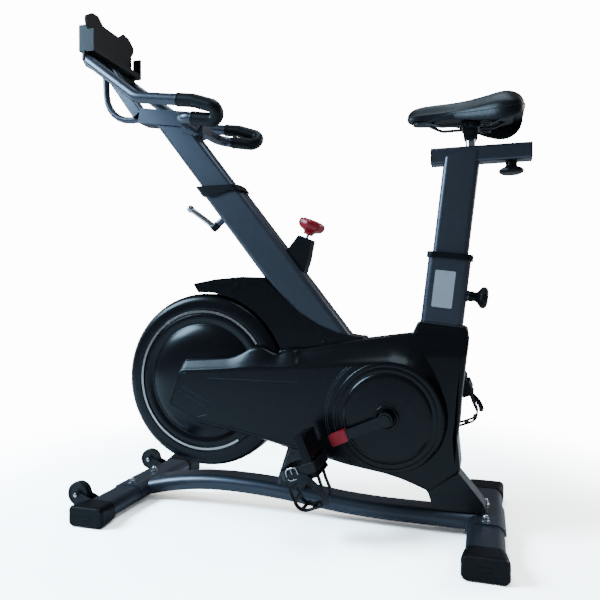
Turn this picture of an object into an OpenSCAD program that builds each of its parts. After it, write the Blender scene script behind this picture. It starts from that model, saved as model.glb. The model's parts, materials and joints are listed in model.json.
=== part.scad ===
// Upright belt-drive exercise bike with an enclosed flywheel, built as an assembly of its real pieces.
// +X points to the rear, +Y to the rider's right, +Z up. The origin lies on the floor under the middle
// of the whole bike.

/* [Base] */
// Distance between the two floor tubes, centre to centre
foot_spacing = 900; // [880:5:920]
// Overall length of a floor tube with its two end caps
foot_length = 506; // [480:2:540]
// Distance of the rear floor tube behind the origin
rear_foot_x = 468; // [464:1:472]
// Highest point of the arched base tube's centreline
base_peak_z = 62.5; // [58:0.5:64]

/* [Frame] */
// Angle of the front mast above the floor
mast_angle = 52; // [51:0.5:53]
// Rearward lean of the seat tube from upright
seat_lean = 6.7; // [6:0.1:7.5]
// Height of the crank axis
crank_z = 269; // [266:1:272]
// Distance of the crank axis behind the origin
crank_x = 253; // [250:1:255]

/* [Drive] */
// Height of the flywheel axle
flywheel_z = 329; // [327:1:331]
// Distance of the flywheel axle in front of the origin
flywheel_front = 231; // [229:1:233]
// Outer radius of the flywheel
flywheel_r = 185; // [170:1:186]
// Radius of the large belt pulley
large_pulley_r = 100; // [90:1:102]
// Radius of the small belt pulley
small_pulley_r = 22; // [18:1:24]
// Length of a crank arm, axis to axis
crank_length = 170; // [165:1:175]
// Angle of the left crank arm below level at rest, pointing forward
crank_drop = 24; // [0:1:40]
// Angle through which both pedals hang at rest, turned from level
pedal_hang = 112; // [90:1:120]

/* [Seat] */
// Length of the level rail under the saddle, without its end plugs
seat_rail_length = 216; // [210:1:218]
// Height of the seat rail's underside
seat_rail_z = 852; // [840:1:865]

/* [Handlebar] */
// Outer diameter of the handlebar tube
bar_d = 28; // [25:0.5:28]
// Half the distance between the two hand rails
rail_y = 140; // [130:1:150]
// Half the width of the tablet holder across its lower corners
holder_half_w = 120; // [112:1:126]

/* [Hidden] */

$fn = 64;
fine = 96;
steel_wall = 2.5;
shell_wall = 2.5;
joint_gap = 0.05;
body_gap = 0.4;
far = 2000;

gunmetal = "#3d434b";
black_plastic = "#17191b";
black_metal = "#222427";
chrome = "#c9ccd0";
bare_steel = "#8d9196";
red_plastic = "#c4202c";
rubber = "#141516";

// Base
front_foot_x = rear_foot_x - foot_spacing;
foot_w = 80;
foot_h = 40;
foot_z = 26;
base_end_z = 33;
base_peak_x = -172;
base_turn = 7.5;
base_section_w = 80;
base_section_h = 40;
base_r = (base_peak_z - base_end_z) / (2 * (1 - cos(base_turn)));
base_flat_x = base_peak_x + 2 * base_r * sin(base_turn);
base_front_x = front_foot_x + foot_w / 2;
base_front_run = base_peak_x - base_front_x;
base_front_drop = base_peak_z - base_end_z;
base_front_r = (base_front_run * base_front_run + base_front_drop * base_front_drop) / (2 * base_front_drop);
base_front_turn = asin(base_front_run / base_front_r);
cradle_wall = 4;
cradle_half_y = 75;
foot_bolt_y = 55;
wheel_x = front_foot_x - 78;
wheel_y = 167;
wheel_z = 49;
wheel_r = 30;
wheel_half_w = 11;

// Frame
mast_w = 88;
mast_y = 60;
strut_y = 56;
mast_offset = -9;
mast_top_z = 816;
seat_w = 96;
seat_y = 62;
seat_foot_z = 190;
seat_foot_x = 335;
seat_length = 445;
bracket_shell_r = 23;
bracket_shell_y = 34;
crank_bearing_r = 19;
crank_axle_r = 8.5;
fly_bearing_r = 16;
fly_axle_r = 7.5;
fly_x = -flywheel_front;
plate_in = mast_y / 2;
plate_out = plate_in + 4;

// Belt drive
belt_in = 44;
belt_out = 60;
belt_gap = 0.3;
belt_thick = 3;

// Covers
case_y = 80;
frame_cover_y = 52;
boot_y = 38;
housing_r = 224;
trim_r = 178;
trim_start = 33;
trim_sweep = 271;

// Seat
post_w = 80;
post_y = 48;
post_bottom = 235;
rail_front_x = 347;
rail_h = 38;
rail_y_w = post_y - 2 * steel_wall;
stub_x = 433;
clamp_z = 918;
slide_knob_x = 522;
height_knob_at = 365;
collar_h = 14;

// Handlebar and console
bar_r = bar_d / 2;
bar_wall = 2;
grip_wall = 2.4;
grip_gap = 0.2;
lower_y = rail_y - 18;
bar_bend_x = -360;
bar_bend_z = 1040;
bar_dip_x = -204;
bar_dip_z = 1017;
bar_tip_x = -144;
bar_tip_z = 996;
bar_cross_x = -257;
bar_cross_z = 988;
bracket_tilt = 9.2;
holder_x = -532;
holder_wall = 6;
shelf_z = 1186;
post_in_w = 72;
post_in_y = 46;
rod_tilt = 22;
rod_head = [50, 0, 722];
rod_r = 4;
lever_at = 650;

function unit(v) = v / norm(v);
function polar(c, r, a) = [c[0] + r * cos(a), c[1] + r * sin(a)];
function arc_points(c, r, a0, a1, n) = [for (i = [0:n]) polar(c, r, a0 + (a1 - a0) * i / n)];
function crossing(p, d, q, e) =
    let (t = ((q[0] - p[0]) * e[1] - (q[1] - p[1]) * e[0]) / (d[0] * e[1] - d[1] * e[0])) p + t * d;
// Moves each side of an anticlockwise outline inward by the given depth
function inset(pts, depth) = let (n = len(pts)) [
    for (i = [0:n - 1])
        let (a = pts[(i + n - 1) % n], b = pts[i], c = pts[(i + 1) % n], d = unit(b - a), e = unit(c - b))
        let (p = b + depth * [-d[1], d[0]], q = b + depth * [-e[1], e[0]])
        abs(d[0] * e[1] - d[1] * e[0]) < 0.001 ? p : crossing(p, d, q, e)
];
function mirrored(pts) = [for (i = [len(pts) - 1:-1:0]) [-pts[i][0], pts[i][1]]];

module stadium(w, h) {
    square([w - h, h], center = true);
    for (s = [-1, 1]) translate([s * (w - h) / 2, 0]) circle(d = h);
}

module rounded(w, h, r) {
    square([w - 2 * r, h], center = true);
    square([w, h - 2 * r], center = true);
    for (sx = [-1, 1], sy = [-1, 1]) translate([sx * (w / 2 - r), sy * (h / 2 - r)]) circle(r);
}

module tube_section(w, h, r, wall) {
    difference() {
        rounded(w, h, r);
        rounded(w - 2 * wall, h - 2 * wall, r - wall);
    }
}

// Extrudes a side-view outline (x, z) between two places across the bike
module across(y0, y1) {
    rotate([90, 0, 0]) translate([0, 0, -y1]) linear_extrude(y1 - y0) children();
}

// The same outline on both sides of the bike, between two distances from the middle
module both_sides(y0, y1) {
    across(y0, y1) children();
    across(-y1, -y0) children();
}

module pin_across(x, z, r, y0, y1) {
    across(y0, y1) translate([x, z]) circle(r);
}

// Turns a half profile (radius, distance to the left) about an axle that runs across the bike
module turned(x, z) {
    translate([x, 0, z]) rotate([90, 0, 0]) rotate_extrude($fn = fine) children();
}

// Outline round two circles that share straight tangents, the first at the origin
module tapered_loop(length, r1, r2) {
    a = acos((r1 - r2) / length);
    polygon(concat(arc_points([0, 0], r1, a, 360 - a, 48), arc_points([length, 0], r2, -a, a, 36)));
}

module placed(origin, x_dir, y_dir, z_dir) {
    multmatrix([
        [x_dir[0], y_dir[0], z_dir[0], origin[0]],
        [x_dir[1], y_dir[1], z_dir[1], origin[1]],
        [x_dir[2], y_dir[2], z_dir[2], origin[2]],
        [0, 0, 0, 1]
    ]) children();
}

module straight_bar(a, b, r) {
    d = unit(b - a);
    u = unit(cross(d, [0, 1, 0]));
    placed(a, u, cross(d, u), d) linear_extrude(norm(b - a)) circle(r);
}

// Points round one bend, from where it leaves the first straight to where it meets the next
function bend_points(before, corner, after, bend_r) =
    let (d1 = unit(corner - before), d2 = unit(after - corner), turn = acos(d1 * d2))
    let (inward = unit(d2 - (d1 * d2) * d1), steps = ceil(turn / 15))
    let (centre = corner - bend_r * tan(turn / 2) * d1 + bend_r * inward)
    [for (i = [0:steps]) centre + bend_r * (sin(turn * i / steps) * d1 - cos(turn * i / steps) * inward)];

function bent_path(p, bends) = [
    p[0],
    for (i = [1:len(p) - 2]) each bend_points(p[i - 1], p[i], p[i + 1], bends[i]),
    p[len(p) - 1]
];

function heading(p, i) = let (n = len(p) - 1)
    i == 0 ? unit(p[1] - p[0])
    : i == n ? unit(p[n] - p[n - 1])
    : unit(unit(p[i] - p[i - 1]) + unit(p[i + 1] - p[i]));

// Carries a side direction along the path without twisting it
function carried(path, u, i = 0) = i == len(path) ? [] :
    let (d = heading(path, i), v = unit(u - (u * d) * d)) concat([v], carried(path, v, i + 1));

// Sweeps a section, given as a loop of points, along a path; an empty inner loop makes a solid bar
module swept(path, outer, inner) {
    n = len(path);
    sides = len(outer);
    first = heading(path, 0);
    side_dirs = carried(path, abs(first[1]) > 0.9 ? [0, 0, 1] : [0, 1, 0]);
    function rings(loop) = [
        for (i = [0:n - 1], q = loop) path[i] + q[0] * side_dirs[i] + q[1] * cross(heading(path, i), side_dirs[i])
    ];
    m = n * sides;
    last = (n - 1) * sides;
    skin = [for (i = [0:n - 2], k = [0:sides - 1])
        let (a = i * sides + k, b = i * sides + (k + 1) % sides, c = b + sides, d = a + sides)
        each [[a, c, b], [a, d, c]]];
    lining = [for (f = skin) [m + f[0], m + f[2], m + f[1]]];
    rims = [for (k = [0:sides - 1]) let (j = (k + 1) % sides)
        each [[k, j, m + k], [m + k, j, m + j], [last + k, m + last + k, last + j], [m + last + k, m + last + j, last + j]]];
    ends = [[for (k = [0:sides - 1]) k], [for (k = [sides - 1:-1:0]) last + k]];
    if (len(inner) > 0) polyhedron(concat(rings(outer), rings(inner)), concat(skin, lining, rims));
    else polyhedron(rings(outer), concat(skin, ends));
}

function circle_loop(r, sides) = arc_points([0, 0], r, 0, 360 - 360 / sides, sides - 1);

// A round tube through the given corners, each with its own bend radius; a wall of 0 makes a solid bar
module bent_tube(corners, bends, r, wall, sides = 20) {
    swept(bent_path(corners, bends), circle_loop(r, sides), wall > 0 ? circle_loop(r - wall, sides) : []);
}

// Local frames: +Z runs up the member, +X towards its rear face
module on_mast() {
    translate([crank_x, 0, crank_z]) rotate([0, mast_angle - 90, 0]) translate([mast_offset, 0, 0]) children();
}

module on_seat_tube() {
    translate([seat_foot_x, 0, seat_foot_z]) rotate([0, seat_lean, 0]) children();
}

module on_pedal(side) {
    drop = side < 0 ? crank_drop + 180 : crank_drop;
    translate([crank_x + crank_length * cos(drop), 0, crank_z + crank_length * sin(drop)])
        rotate([0, -pedal_hang, 0]) children();
}

module on_rod() {
    translate(rod_head) rotate([0, rod_tilt, 0]) children();
}

// Base ------------------------------------------------------------------

function base_loop(depth) = let (end = base_section_w / 2 - base_section_h / 2, r = base_section_h / 2 - depth)
    concat(arc_points([end, 0], r, -90, 90, 12), arc_points([-end, 0], r, 90, 270, 12));

base_side = concat(
    arc_points([base_peak_x, base_peak_z - base_front_r], base_front_r, 90 + base_front_turn, 90, 7),
    arc_points([base_peak_x, base_peak_z - base_r], base_r, 90 - base_turn / 6, 90 - base_turn, 5),
    arc_points([base_flat_x, base_end_z + base_r], base_r, 270 - 5 * base_turn / 6, 270, 5),
    [[rear_foot_x - foot_w / 4, base_end_z]]
);

// The arched tube from the rear floor tube to the front one; a wall of 0 gives the filled form
module base_body(wall) {
    swept([for (p = base_side) [p[0], 0, p[1]]], base_loop(0), wall > 0 ? base_loop(wall) : []);
}

module foot_cradle(x) {
    across(-cradle_half_y, cradle_half_y) translate([x, foot_z]) intersection() {
        difference() {
            stadium(foot_w + 2 * cradle_wall, foot_h + 2 * cradle_wall);
            stadium(foot_w, foot_h);
        }
        translate([-foot_w, 0]) square([2 * foot_w, foot_h]);
    }
}

module base_tube() {
    color(gunmetal) difference() {
        union() {
            difference() {
                base_body(steel_wall);
                for (x = [front_foot_x, rear_foot_x]) across(-cradle_half_y, cradle_half_y)
                    translate([x, foot_z]) stadium(foot_w + 2 * cradle_wall, foot_h + 2 * cradle_wall);
            }
            for (x = [front_foot_x, rear_foot_x]) foot_cradle(x);
        }
        for (x = [front_foot_x, rear_foot_x], s = [-1, 1])
            translate([x, s * foot_bolt_y, foot_z]) cylinder(r = 4, h = 60);
    }
}

module foot_tubes() {
    half = foot_length / 2 - 6;
    color(gunmetal) for (x = [front_foot_x, rear_foot_x]) difference() {
        across(-half, half) translate([x, foot_z]) difference() {
            stadium(foot_w, foot_h);
            stadium(foot_w - 2 * steel_wall, foot_h - 2 * steel_wall);
        }
        for (s = [-1, 1]) translate([x, s * foot_bolt_y, 0]) cylinder(r = 4, h = 60);
    }
}

module foot_end_caps() {
    outer = foot_length / 2;
    inner = outer - 61;
    color(black_plastic) for (x = [front_foot_x, rear_foot_x], s = [-1, 1]) difference() {
        hull() {
            translate([x, s * (inner + 1), 23.5]) rotate([90, 0, 0])
                linear_extrude(2, center = true) rounded(86, 47, 18, $fn = 32);
            translate([x, s * (outer - 9), 25]) rotate([90, 0, 0])
                linear_extrude(6, center = true) rounded(92, 50, 12, $fn = 32);
            translate([x, s * (outer - 2), 25]) rotate([90, 0, 0])
                linear_extrude(4, center = true) rounded(86, 44, 9, $fn = 32);
        }
        across(-outer + 6, outer - 6) translate([x, foot_z]) stadium(foot_w, foot_h);
    }
}

module foot_bolts() {
    plate_top = foot_z + foot_h / 2 + cradle_wall;
    color(chrome) for (x = [front_foot_x, rear_foot_x], s = [-1, 1]) translate([x, s * foot_bolt_y, 0]) {
        translate([0, 0, 3]) cylinder(r = 9, h = foot_z - foot_h / 2 - 3);
        translate([0, 0, 3]) cylinder(r = 4, h = plate_top + 4);
        translate([0, 0, plate_top]) cylinder(r = 10, h = 1.5);
        translate([0, 0, plate_top + 1.5]) cylinder(r = 7.5, h = 6, $fn = 6);
        translate([0, 0, plate_top + 7.5]) intersection() {
            sphere(6);
            cylinder(r = 8, h = 8);
        }
    }
}

module wheel_fork(y) {
    color(black_metal) {
        difference() {
            for (s = [-1, 1]) across(y + s * 14 - 1.5, y + s * 14 + 1.5) {
                translate([wheel_x, wheel_z]) circle(12);
                polygon([
                    [wheel_x - 7, wheel_z + 9], [wheel_x - 11, wheel_z - 6],
                    [front_foot_x - 36, foot_z - 12], [front_foot_x - 20, foot_z + 10], [wheel_x + 22, wheel_z + 2]
                ]);
            }
            across(y - 20, y + 20) translate([front_foot_x, foot_z]) stadium(foot_w, foot_h);
        }
        pin_across(wheel_x, wheel_z, 4, y - 20, y + 20);
        for (s = [-1, 1]) pin_across(wheel_x, wheel_z, 7, y + s * 18 - 2.5, y + s * 18 + 2.5);
    }
}

module wheel_forks() {
    for (s = [-1, 1]) wheel_fork(s * wheel_y);
}

module transport_wheel(y) {
    color(rubber) translate([wheel_x, y, wheel_z]) rotate([90, 0, 0]) rotate_extrude() difference() {
        translate([4 + joint_gap, -wheel_half_w]) square([wheel_r - 4 - joint_gap, 2 * wheel_half_w]);
        for (s = [-1, 1]) translate([12, s * (wheel_half_w - 1) - 1.5]) square([12, 3]);
        for (s = [-1, 1]) translate([wheel_r, s * wheel_half_w]) rotate(45) square(4, center = true);
    }
}

module transport_wheel_left() transport_wheel(-wheel_y);
module transport_wheel_right() transport_wheel(wheel_y);

// Frame -----------------------------------------------------------------

rear_strut_outline = [
    [352, 53], [rear_foot_x - 20, 53], [rear_foot_x - 20, 50], [rear_foot_x + 2, 50], [468, 64], [462, 78],
    [406, 146], [398, seat_foot_z], [288, seat_foot_z], [312, 128], [341, 88]
];

module rear_strut() {
    color(black_metal) difference() {
        across(-30, 30) polygon(rear_strut_outline);
        across(-27, 27) polygon(inset(rear_strut_outline, 3));
    }
}

module strut_body(wall) {
    translate([3, 0, 70]) rotate([0, 18.4, 0]) translate([0, 0, -12]) linear_extrude(382) difference() {
        rounded(80, strut_y, 12);
        if (wall > 0) rounded(80 - 2 * wall, strut_y - 2 * wall, 12 - wall);
    }
}

module mast_body(wall) {
    on_mast() translate([0, 0, -45]) linear_extrude(770) difference() {
        rounded(mast_w, mast_y, 14);
        if (wall > 0) rounded(mast_w - 2 * wall, mast_y - 2 * wall, 14 - wall);
    }
}

module seat_body(wall) {
    on_seat_tube() translate([0, 0, -20]) linear_extrude(seat_length + 20) difference() {
        rounded(seat_w, seat_y, 14);
        if (wall > 0) rounded(seat_w - 2 * wall, seat_y - 2 * wall, 14 - wall);
    }
}

module front_strut() {
    color(black_metal) difference() {
        strut_body(steel_wall);
        mast_body(0);
        base_body(0);
    }
}

module seat_tube() {
    color(gunmetal) difference() {
        union() {
            seat_body(steel_wall);
            on_seat_tube() translate([seat_w / 2 - 1, 0, height_knob_at]) rotate([0, 90, 0]) cylinder(r = 13, h = 5);
        }
        translate([-far, -far, seat_foot_z - far]) cube([2 * far, 2 * far, far]);
        on_seat_tube() translate([0, 0, height_knob_at]) rotate([0, 90, 0]) cylinder(r = 9, h = 100);
    }
}

module mast_tube() {
    color(gunmetal) difference() {
        union() {
            mast_body(steel_wall);
            on_mast() translate([-mast_w / 2 - 20, 0, lever_at]) rotate([0, 90, 0]) cylinder(r = 9, h = 21);
        }
        seat_body(0);
        above_mast_top();
        pin_across(crank_x, crank_z, bracket_shell_r, -100, 100);
        on_rod() translate([0, 0, -400]) cylinder(r = rod_r + 2, h = 400);
        on_mast() translate([-100, 0, lever_at]) rotate([0, 90, 0]) cylinder(r = 5 + joint_gap, h = 100);
    }
}

module bottom_bracket_shell() {
    color(bare_steel) difference() {
        pin_across(crank_x, crank_z, bracket_shell_r, -bracket_shell_y, bracket_shell_y);
        pin_across(crank_x, crank_z, crank_bearing_r, -far, far);
    }
}

module bearing(x, z, outer_r, shaft_r, y0, y1) {
    difference() {
        pin_across(x, z, outer_r, y0, y1);
        pin_across(x, z, shaft_r + joint_gap, y0 - 1, y1 + 1);
    }
}

module bearings() {
    color(bare_steel) for (s = [-1, 1]) {
        bearing(crank_x, crank_z, crank_bearing_r, crank_axle_r, s * 27 - 6, s * 27 + 6);
        bearing(fly_x, flywheel_z, fly_bearing_r, fly_axle_r, s * 29 - 5, s * 29 + 5);
    }
}

// Two flat plates welded to the mast and strut carry the flywheel between them
module flywheel_fork_plates() {
    color(black_metal) difference() {
        union() {
            both_sides(plate_in, plate_out) {
                translate([fly_x, flywheel_z]) circle(34);
                polygon([
                    [fly_x, flywheel_z - 34], [60, 264], [140, 262], [186, 296], [186, 372], [120, 384],
                    [fly_x, flywheel_z + 34]
                ]);
            }
            for (s = [-1, 1]) pin_across(fly_x, flywheel_z, 21, s * 29 - 6, s * 29 + 6);
            pin_across(bracket_pivot[0], bracket_pivot[1], 4, -plate_in, plate_in);
        }
        pin_across(fly_x, flywheel_z, fly_bearing_r, -100, 100);
    }
}

// Drive -----------------------------------------------------------------

module flywheel() {
    color(bare_steel) turned(fly_x, flywheel_z) {
        translate([150, -13]) square([flywheel_r - 150, 26]);
        translate([28, -5]) square([124, 10]);
        translate([fly_axle_r, -14]) square([22, 28]);
    }
}

module flywheel_axle() {
    color(bare_steel) pin_across(fly_x, flywheel_z, fly_axle_r, -belt_out - 3, 38);
}

module small_pulley() {
    color(bare_steel) difference() {
        union() {
            pin_across(fly_x, flywheel_z, small_pulley_r, -belt_out, -belt_in);
            pin_across(fly_x, flywheel_z, small_pulley_r + 2, -belt_out, -belt_out + 1);
            pin_across(fly_x, flywheel_z, small_pulley_r + 2, -belt_in - 1, -belt_in);
        }
        pin_across(fly_x, flywheel_z, fly_axle_r, -100, 0);
    }
}

module large_pulley() {
    middle = (belt_in + belt_out) / 2;
    color(black_metal) difference() {
        turned(crank_x, crank_z) {
            translate([large_pulley_r - 10, belt_in]) square([10, belt_out - belt_in]);
            translate([30, middle - 3]) square([large_pulley_r - 38, 6]);
            translate([crank_axle_r, belt_in - 4]) square([24, belt_out - belt_in + 4]);
        }
        for (i = [0:5]) translate([crank_x, 0, crank_z]) rotate([0, i * 60, 0])
            pin_across(60, 0, 15, -100, 0);
    }
}

module drive_belt() {
    span = [crank_x - fly_x, crank_z - flywheel_z];
    angle = atan2(span[1], span[0]);
    color(rubber) across(-belt_out + 1.5, -belt_in - 1.5) translate([crank_x, crank_z]) rotate(angle + 180)
        difference() {
            tapered_loop(norm(span), large_pulley_r + belt_gap + belt_thick, small_pulley_r + belt_gap + belt_thick);
            tapered_loop(norm(span), large_pulley_r + belt_gap, small_pulley_r + belt_gap);
        }
}

module crank_axle() {
    color(chrome) {
        pin_across(crank_x, crank_z, crank_axle_r, -112, 112);
        for (s = [-1, 1]) pin_across(crank_x, crank_z, 12, s * 113 - 2, s * 113 + 2);
    }
}

module crank_arm_outline() {
    circle(17);
    tapered_loop(crank_length, 11.5, 10.5);
}

// Places a side-view outline with its +x along a crank arm; side is -1 for the left arm
module on_arm(side, y0, y1) {
    across(side < 0 ? -y1 : y0, side < 0 ? -y0 : y1) translate([crank_x, crank_z])
        rotate(side < 0 ? crank_drop + 180 : crank_drop) children();
}

module crank_arms() {
    color(black_metal) for (s = [-1, 1]) on_arm(s, 97, 111) difference() {
        crank_arm_outline();
        circle(crank_axle_r);
        translate([crank_length, 0]) circle(7);
    }
}

module crank_sleeves() {
    color(red_plastic) for (s = [-1, 1]) difference() {
        on_arm(s, 94, 114) translate([116, 0]) rounded(42, 28, 6);
        on_arm(s, 97, 111) crank_arm_outline();
    }
}

module pedal_spindles() {
    color(chrome) for (s = [-1, 1]) {
        on_arm(s, 97, 205) translate([crank_length, 0]) circle(7);
        on_arm(s, 111, 116) translate([crank_length, 0]) circle(10);
    }
}

// Pedals: local +x is the heel end, -x the toe end, +z the sole side
module pedal(side) {
    color(black_plastic) on_pedal(side) difference() {
        union() {
            across(side < 0 ? -210 : 120, side < 0 ? -120 : 210) {
                rounded(96, 24, 9);
                circle(15);
            }
        }
        for (sx = [-1, 1]) translate([sx * 28 - 11, side * 165 - 36, -30]) cube([22, 72, 60]);
        across(side < 0 ? -206 : 0, side < 0 ? 0 : 206) circle(7 + joint_gap);
    }
}

module toe_cage(side) {
    y0 = side < 0 ? -195 : 135;
    color(black_plastic) on_pedal(side) across(y0, y0 + 60) difference() {
        translate([-78, 32]) rounded(74, 76, 30);
        translate([-78, 32]) rounded(66, 68, 26);
        translate([-60, 8]) square([40, 70]);
        rounded(96, 24, 9);
    }
}

module toe_strap(side) {
    color(rubber) on_pedal(side) translate([-24, side * 165, 28]) rotate([90, 0, 90])
        linear_extrude(24, center = true) difference() {
            rounded(98, 90, 6);
            rounded(93, 85, 3.5);
        }
}

module left_pedal() pedal(-1);
module right_pedal() pedal(1);
module left_toe_cage() toe_cage(-1);
module right_toe_cage() toe_cage(1);
module left_toe_strap() toe_strap(-1);
module right_toe_strap() toe_strap(1);

// Flywheel housing and covers -------------------------------------------

// Half profile of the housing (radius, distance from the middle), moved inward by the given depth
function housing_profile(depth) = [
    [0, 0], [housing_r - depth, 0], [housing_r - depth, 28 - depth / 2], [216 - depth / 2, 37 - depth],
    [205, 40 - depth], [152, 40 - depth], [146, 38 - depth], [140, 42 - depth], [110, 51 - depth],
    [60, 56 - depth], [0, 57 - depth]
];

// The part of the housing that the belt and fork plates pass through, under the side covers
module housing_window() {
    across(-100, 100) polygon([[-262, 240], [-110, 226], [60, 200], [60, 404], [-60, 396], [-150, 372], [-262, 370]]);
}

module housing_half() {
    difference() {
        turned(fly_x, flywheel_z) difference() {
            polygon(housing_profile(0));
            polygon(housing_profile(shell_wall));
        }
        translate([-far, 0, 0]) cube([2 * far, far, far]);
        housing_window();
        on_rod() translate([0, 0, -400]) cylinder(r = rod_r + 2, h = 400);
    }
}

module flywheel_housing_left() {
    color(black_plastic) housing_half();
}

module flywheel_housing_right() {
    color(black_plastic) mirror([0, 1, 0]) housing_half();
}

module silver_trim_strips() {
    color(chrome) for (s = [0, 1]) mirror([0, s, 0]) translate([fly_x, 0, flywheel_z]) rotate([90, 0, 0])
        rotate([0, 0, trim_start]) rotate_extrude(angle = trim_sweep, $fn = 128)
            translate([trim_r - 3, 40]) square([6, 1.2]);
}

shroud_outline = concat(
    [[-261, 579], [-248, 557]],
    arc_points([fly_x, flywheel_z], housing_r + 3, 93, 22, 14),
    [[8, 416], [95, 426], [190, 442], [186, 449], [170, 450], [127, 457], [80, 475], [26, 507], [-24, 553],
    [-70, 594], [-124, 596], [-199, 590]]
);

// Half of the shell that closes the corner between housing and mast
module shroud_half() {
    difference() {
        across(-35, 0) polygon(shroud_outline);
        across(-35 + shell_wall, 1) polygon(inset(shroud_outline, shell_wall));
        mast_body(0);
        on_rod() translate([0, 0, -400]) cylinder(r = rod_r + 2, h = 400);
    }
}

module shroud_left() {
    color(black_plastic) shroud_half();
}

module shroud_right() {
    color(black_plastic) mirror([0, 1, 0]) shroud_half();
}

frame_cover_outline = [
    [-20, 178], [107, 154], [153, 144], [243, 131], [281, 122], [315, 110], [344, 99], [414, 149], [411, 183],
    [407, 225], [411, 250], [416, 316], [424, 390], [431, 445], [427, 477], [318, 490], [304, 459], [196, 441],
    [42, 415.4], [4, 412], [-20, 408]
];

case_outline = concat(
    [[-295, 228], [-224, 220], [-161, 211], [-101, 201], [-40, 188], [107, 155]],
    arc_points([crank_x, crank_z], 134, 255, 450, 24),
    [[150, 400], [-20, 395], [-48, 414], [-72, 419], [-96, 413], [-128, 397], [-165, 389], [-273, 383],
    [-281, 355], [-318, 273]]
);

module tube_clearance() {
    gap = 1;
    on_mast() translate([0, 0, -60]) linear_extrude(800)
        rounded(mast_w + 2 * gap, mast_y + 2 * gap, 15);
    on_seat_tube() translate([0, 0, -60]) linear_extrude(600)
        rounded(seat_w + 2 * gap, seat_y + 2 * gap, 15);
    translate([3, 0, 70]) rotate([0, 18.4, 0]) translate([0, 0, -30]) linear_extrude(430)
        rounded(80 + 2 * gap, strut_y + 2 * gap, 13);
    across(-31, 31) polygon(inset(rear_strut_outline, -1));
}

module cover_half(axle_hole) {
    difference() {
        union() {
            difference() {
                union() {
                    across(-frame_cover_y, 0) intersection() {
                        polygon(frame_cover_outline);
                        translate([-far, -far]) square([2 * far, far + 432]);
                    }
                    across(-boot_y, 0) polygon(frame_cover_outline);
                }
                across(-frame_cover_y + shell_wall, 1) intersection() {
                    polygon(inset(frame_cover_outline, shell_wall));
                    translate([-far, -far]) square([2 * far, far + 429]);
                }
                across(-boot_y + shell_wall, 1) polygon(inset(frame_cover_outline, shell_wall));
            }
            across(-case_y, -36) polygon(case_outline);
        }
        across(-case_y + shell_wall, 1) polygon(inset(case_outline, shell_wall));
        pin_across(crank_x, crank_z, axle_hole, -100, 0);
        turned(fly_x, flywheel_z) polygon(housing_profile(-1));
        across(-41.5, 1) translate([fly_x, flywheel_z]) circle(housing_r + 1, $fn = fine);
        across(-36, 1) polygon(inset(shroud_outline, -0.6));
        tube_clearance();
    }
}

module cover_left() {
    color(black_plastic) cover_half(16);
}

module cover_right() {
    color(black_plastic) mirror([0, 1, 0]) cover_half(16);
}

module cover_screws() {
    color(black_metal) for (s = [-1, 1]) {
        for (p = [[-138, 576], [92, 436]]) pin_across(p[0], p[1], 4, s * 36.2 - 1.2, s * 36.2 + 1.2);
        pin_across(315, 466, 4, s * 39.2 - 1.2, s * 39.2 + 1.2);
    }
}

// Resistance control ----------------------------------------------------

bracket_pivot = polar([fly_x, flywheel_z], 198, 10);

module magnet_bracket() {
    color(bare_steel) difference() {
        translate([fly_x, 0, flywheel_z]) rotate([90, 0, 0]) rotate([0, 0, 4]) rotate_extrude(angle = 48) {
            translate([flywheel_r + 4, -20]) square([18, 40]);
            for (s = [-1, 1]) translate([flywheel_r - 19, s * 18 - 2]) square([24, 4]);
        }
        pin_across(bracket_pivot[0], bracket_pivot[1], 4 + joint_gap, -50, 50);
    }
}

module brake_rod() {
    color(chrome) on_rod() {
        translate([0, 0, -282]) cylinder(r = rod_r, h = 282);
    }
}

module resistance_knob() {
    color(red_plastic) on_rod() rotate_extrude() difference() {
        polygon([[0, -24], [12, -24], [14, -14], [27, -2], [29, 4], [27, 10], [18, 14], [0, 15]]);
        translate([0, -30]) square([rod_r + joint_gap, 30.5]);
    }
}

module resistance_housing() {
    color(black_plastic) difference() {
        across(-18, 18) polygon([[21, 699], [55, 685.5], [46, 637], [36, 606], [0, 600], [-30, 660], [-8, 664]]);
        mast_body(0);
        on_rod() translate([0, 0, -200]) cylinder(r = rod_r + joint_gap, h = 200);
        on_rod() translate([0, 0, -100]) cylinder(r = 9, h = 60);
    }
}

// Seat ------------------------------------------------------------------

module seat_tube_collar() {
    color(black_plastic) on_seat_tube() difference() {
        union() {
            translate([0, 0, seat_length]) linear_extrude(collar_h) rounded(104, 70, 16);
            translate([0, 0, seat_length - 60]) linear_extrude(62)
                rounded(seat_w - 2 * steel_wall, seat_y - 2 * steel_wall, 14 - steel_wall);
        }
        translate([0, 0, seat_length - 70]) linear_extrude(90)
            rounded(post_w + 2 * joint_gap, post_y + 2 * joint_gap, 12 + joint_gap);
    }
}

module seat_post() {
    color(gunmetal) difference() {
        on_seat_tube() translate([0, 0, post_bottom]) linear_extrude(500) tube_section(post_w, post_y, 12, steel_wall);
        rail_envelope();
        translate([-far, -far, seat_rail_z + 26]) cube([2 * far, 2 * far, far]);
        across(-100, 100) polygon([
            [rail_front_x - 10, seat_rail_z - 3], [rail_front_x + 60, seat_rail_z + 26], [rail_front_x - 10, 1000]
        ]);
        on_seat_tube() for (i = [0:8]) translate([0, 0, post_bottom + 50 + 20 * i])
            rotate([0, 90, 0]) cylinder(r = 5.5, h = 100);
    }
}

module rail_envelope() {
    translate([rail_front_x, -rail_y_w / 2, seat_rail_z]) cube([seat_rail_length, rail_y_w, rail_h]);
}

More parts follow.
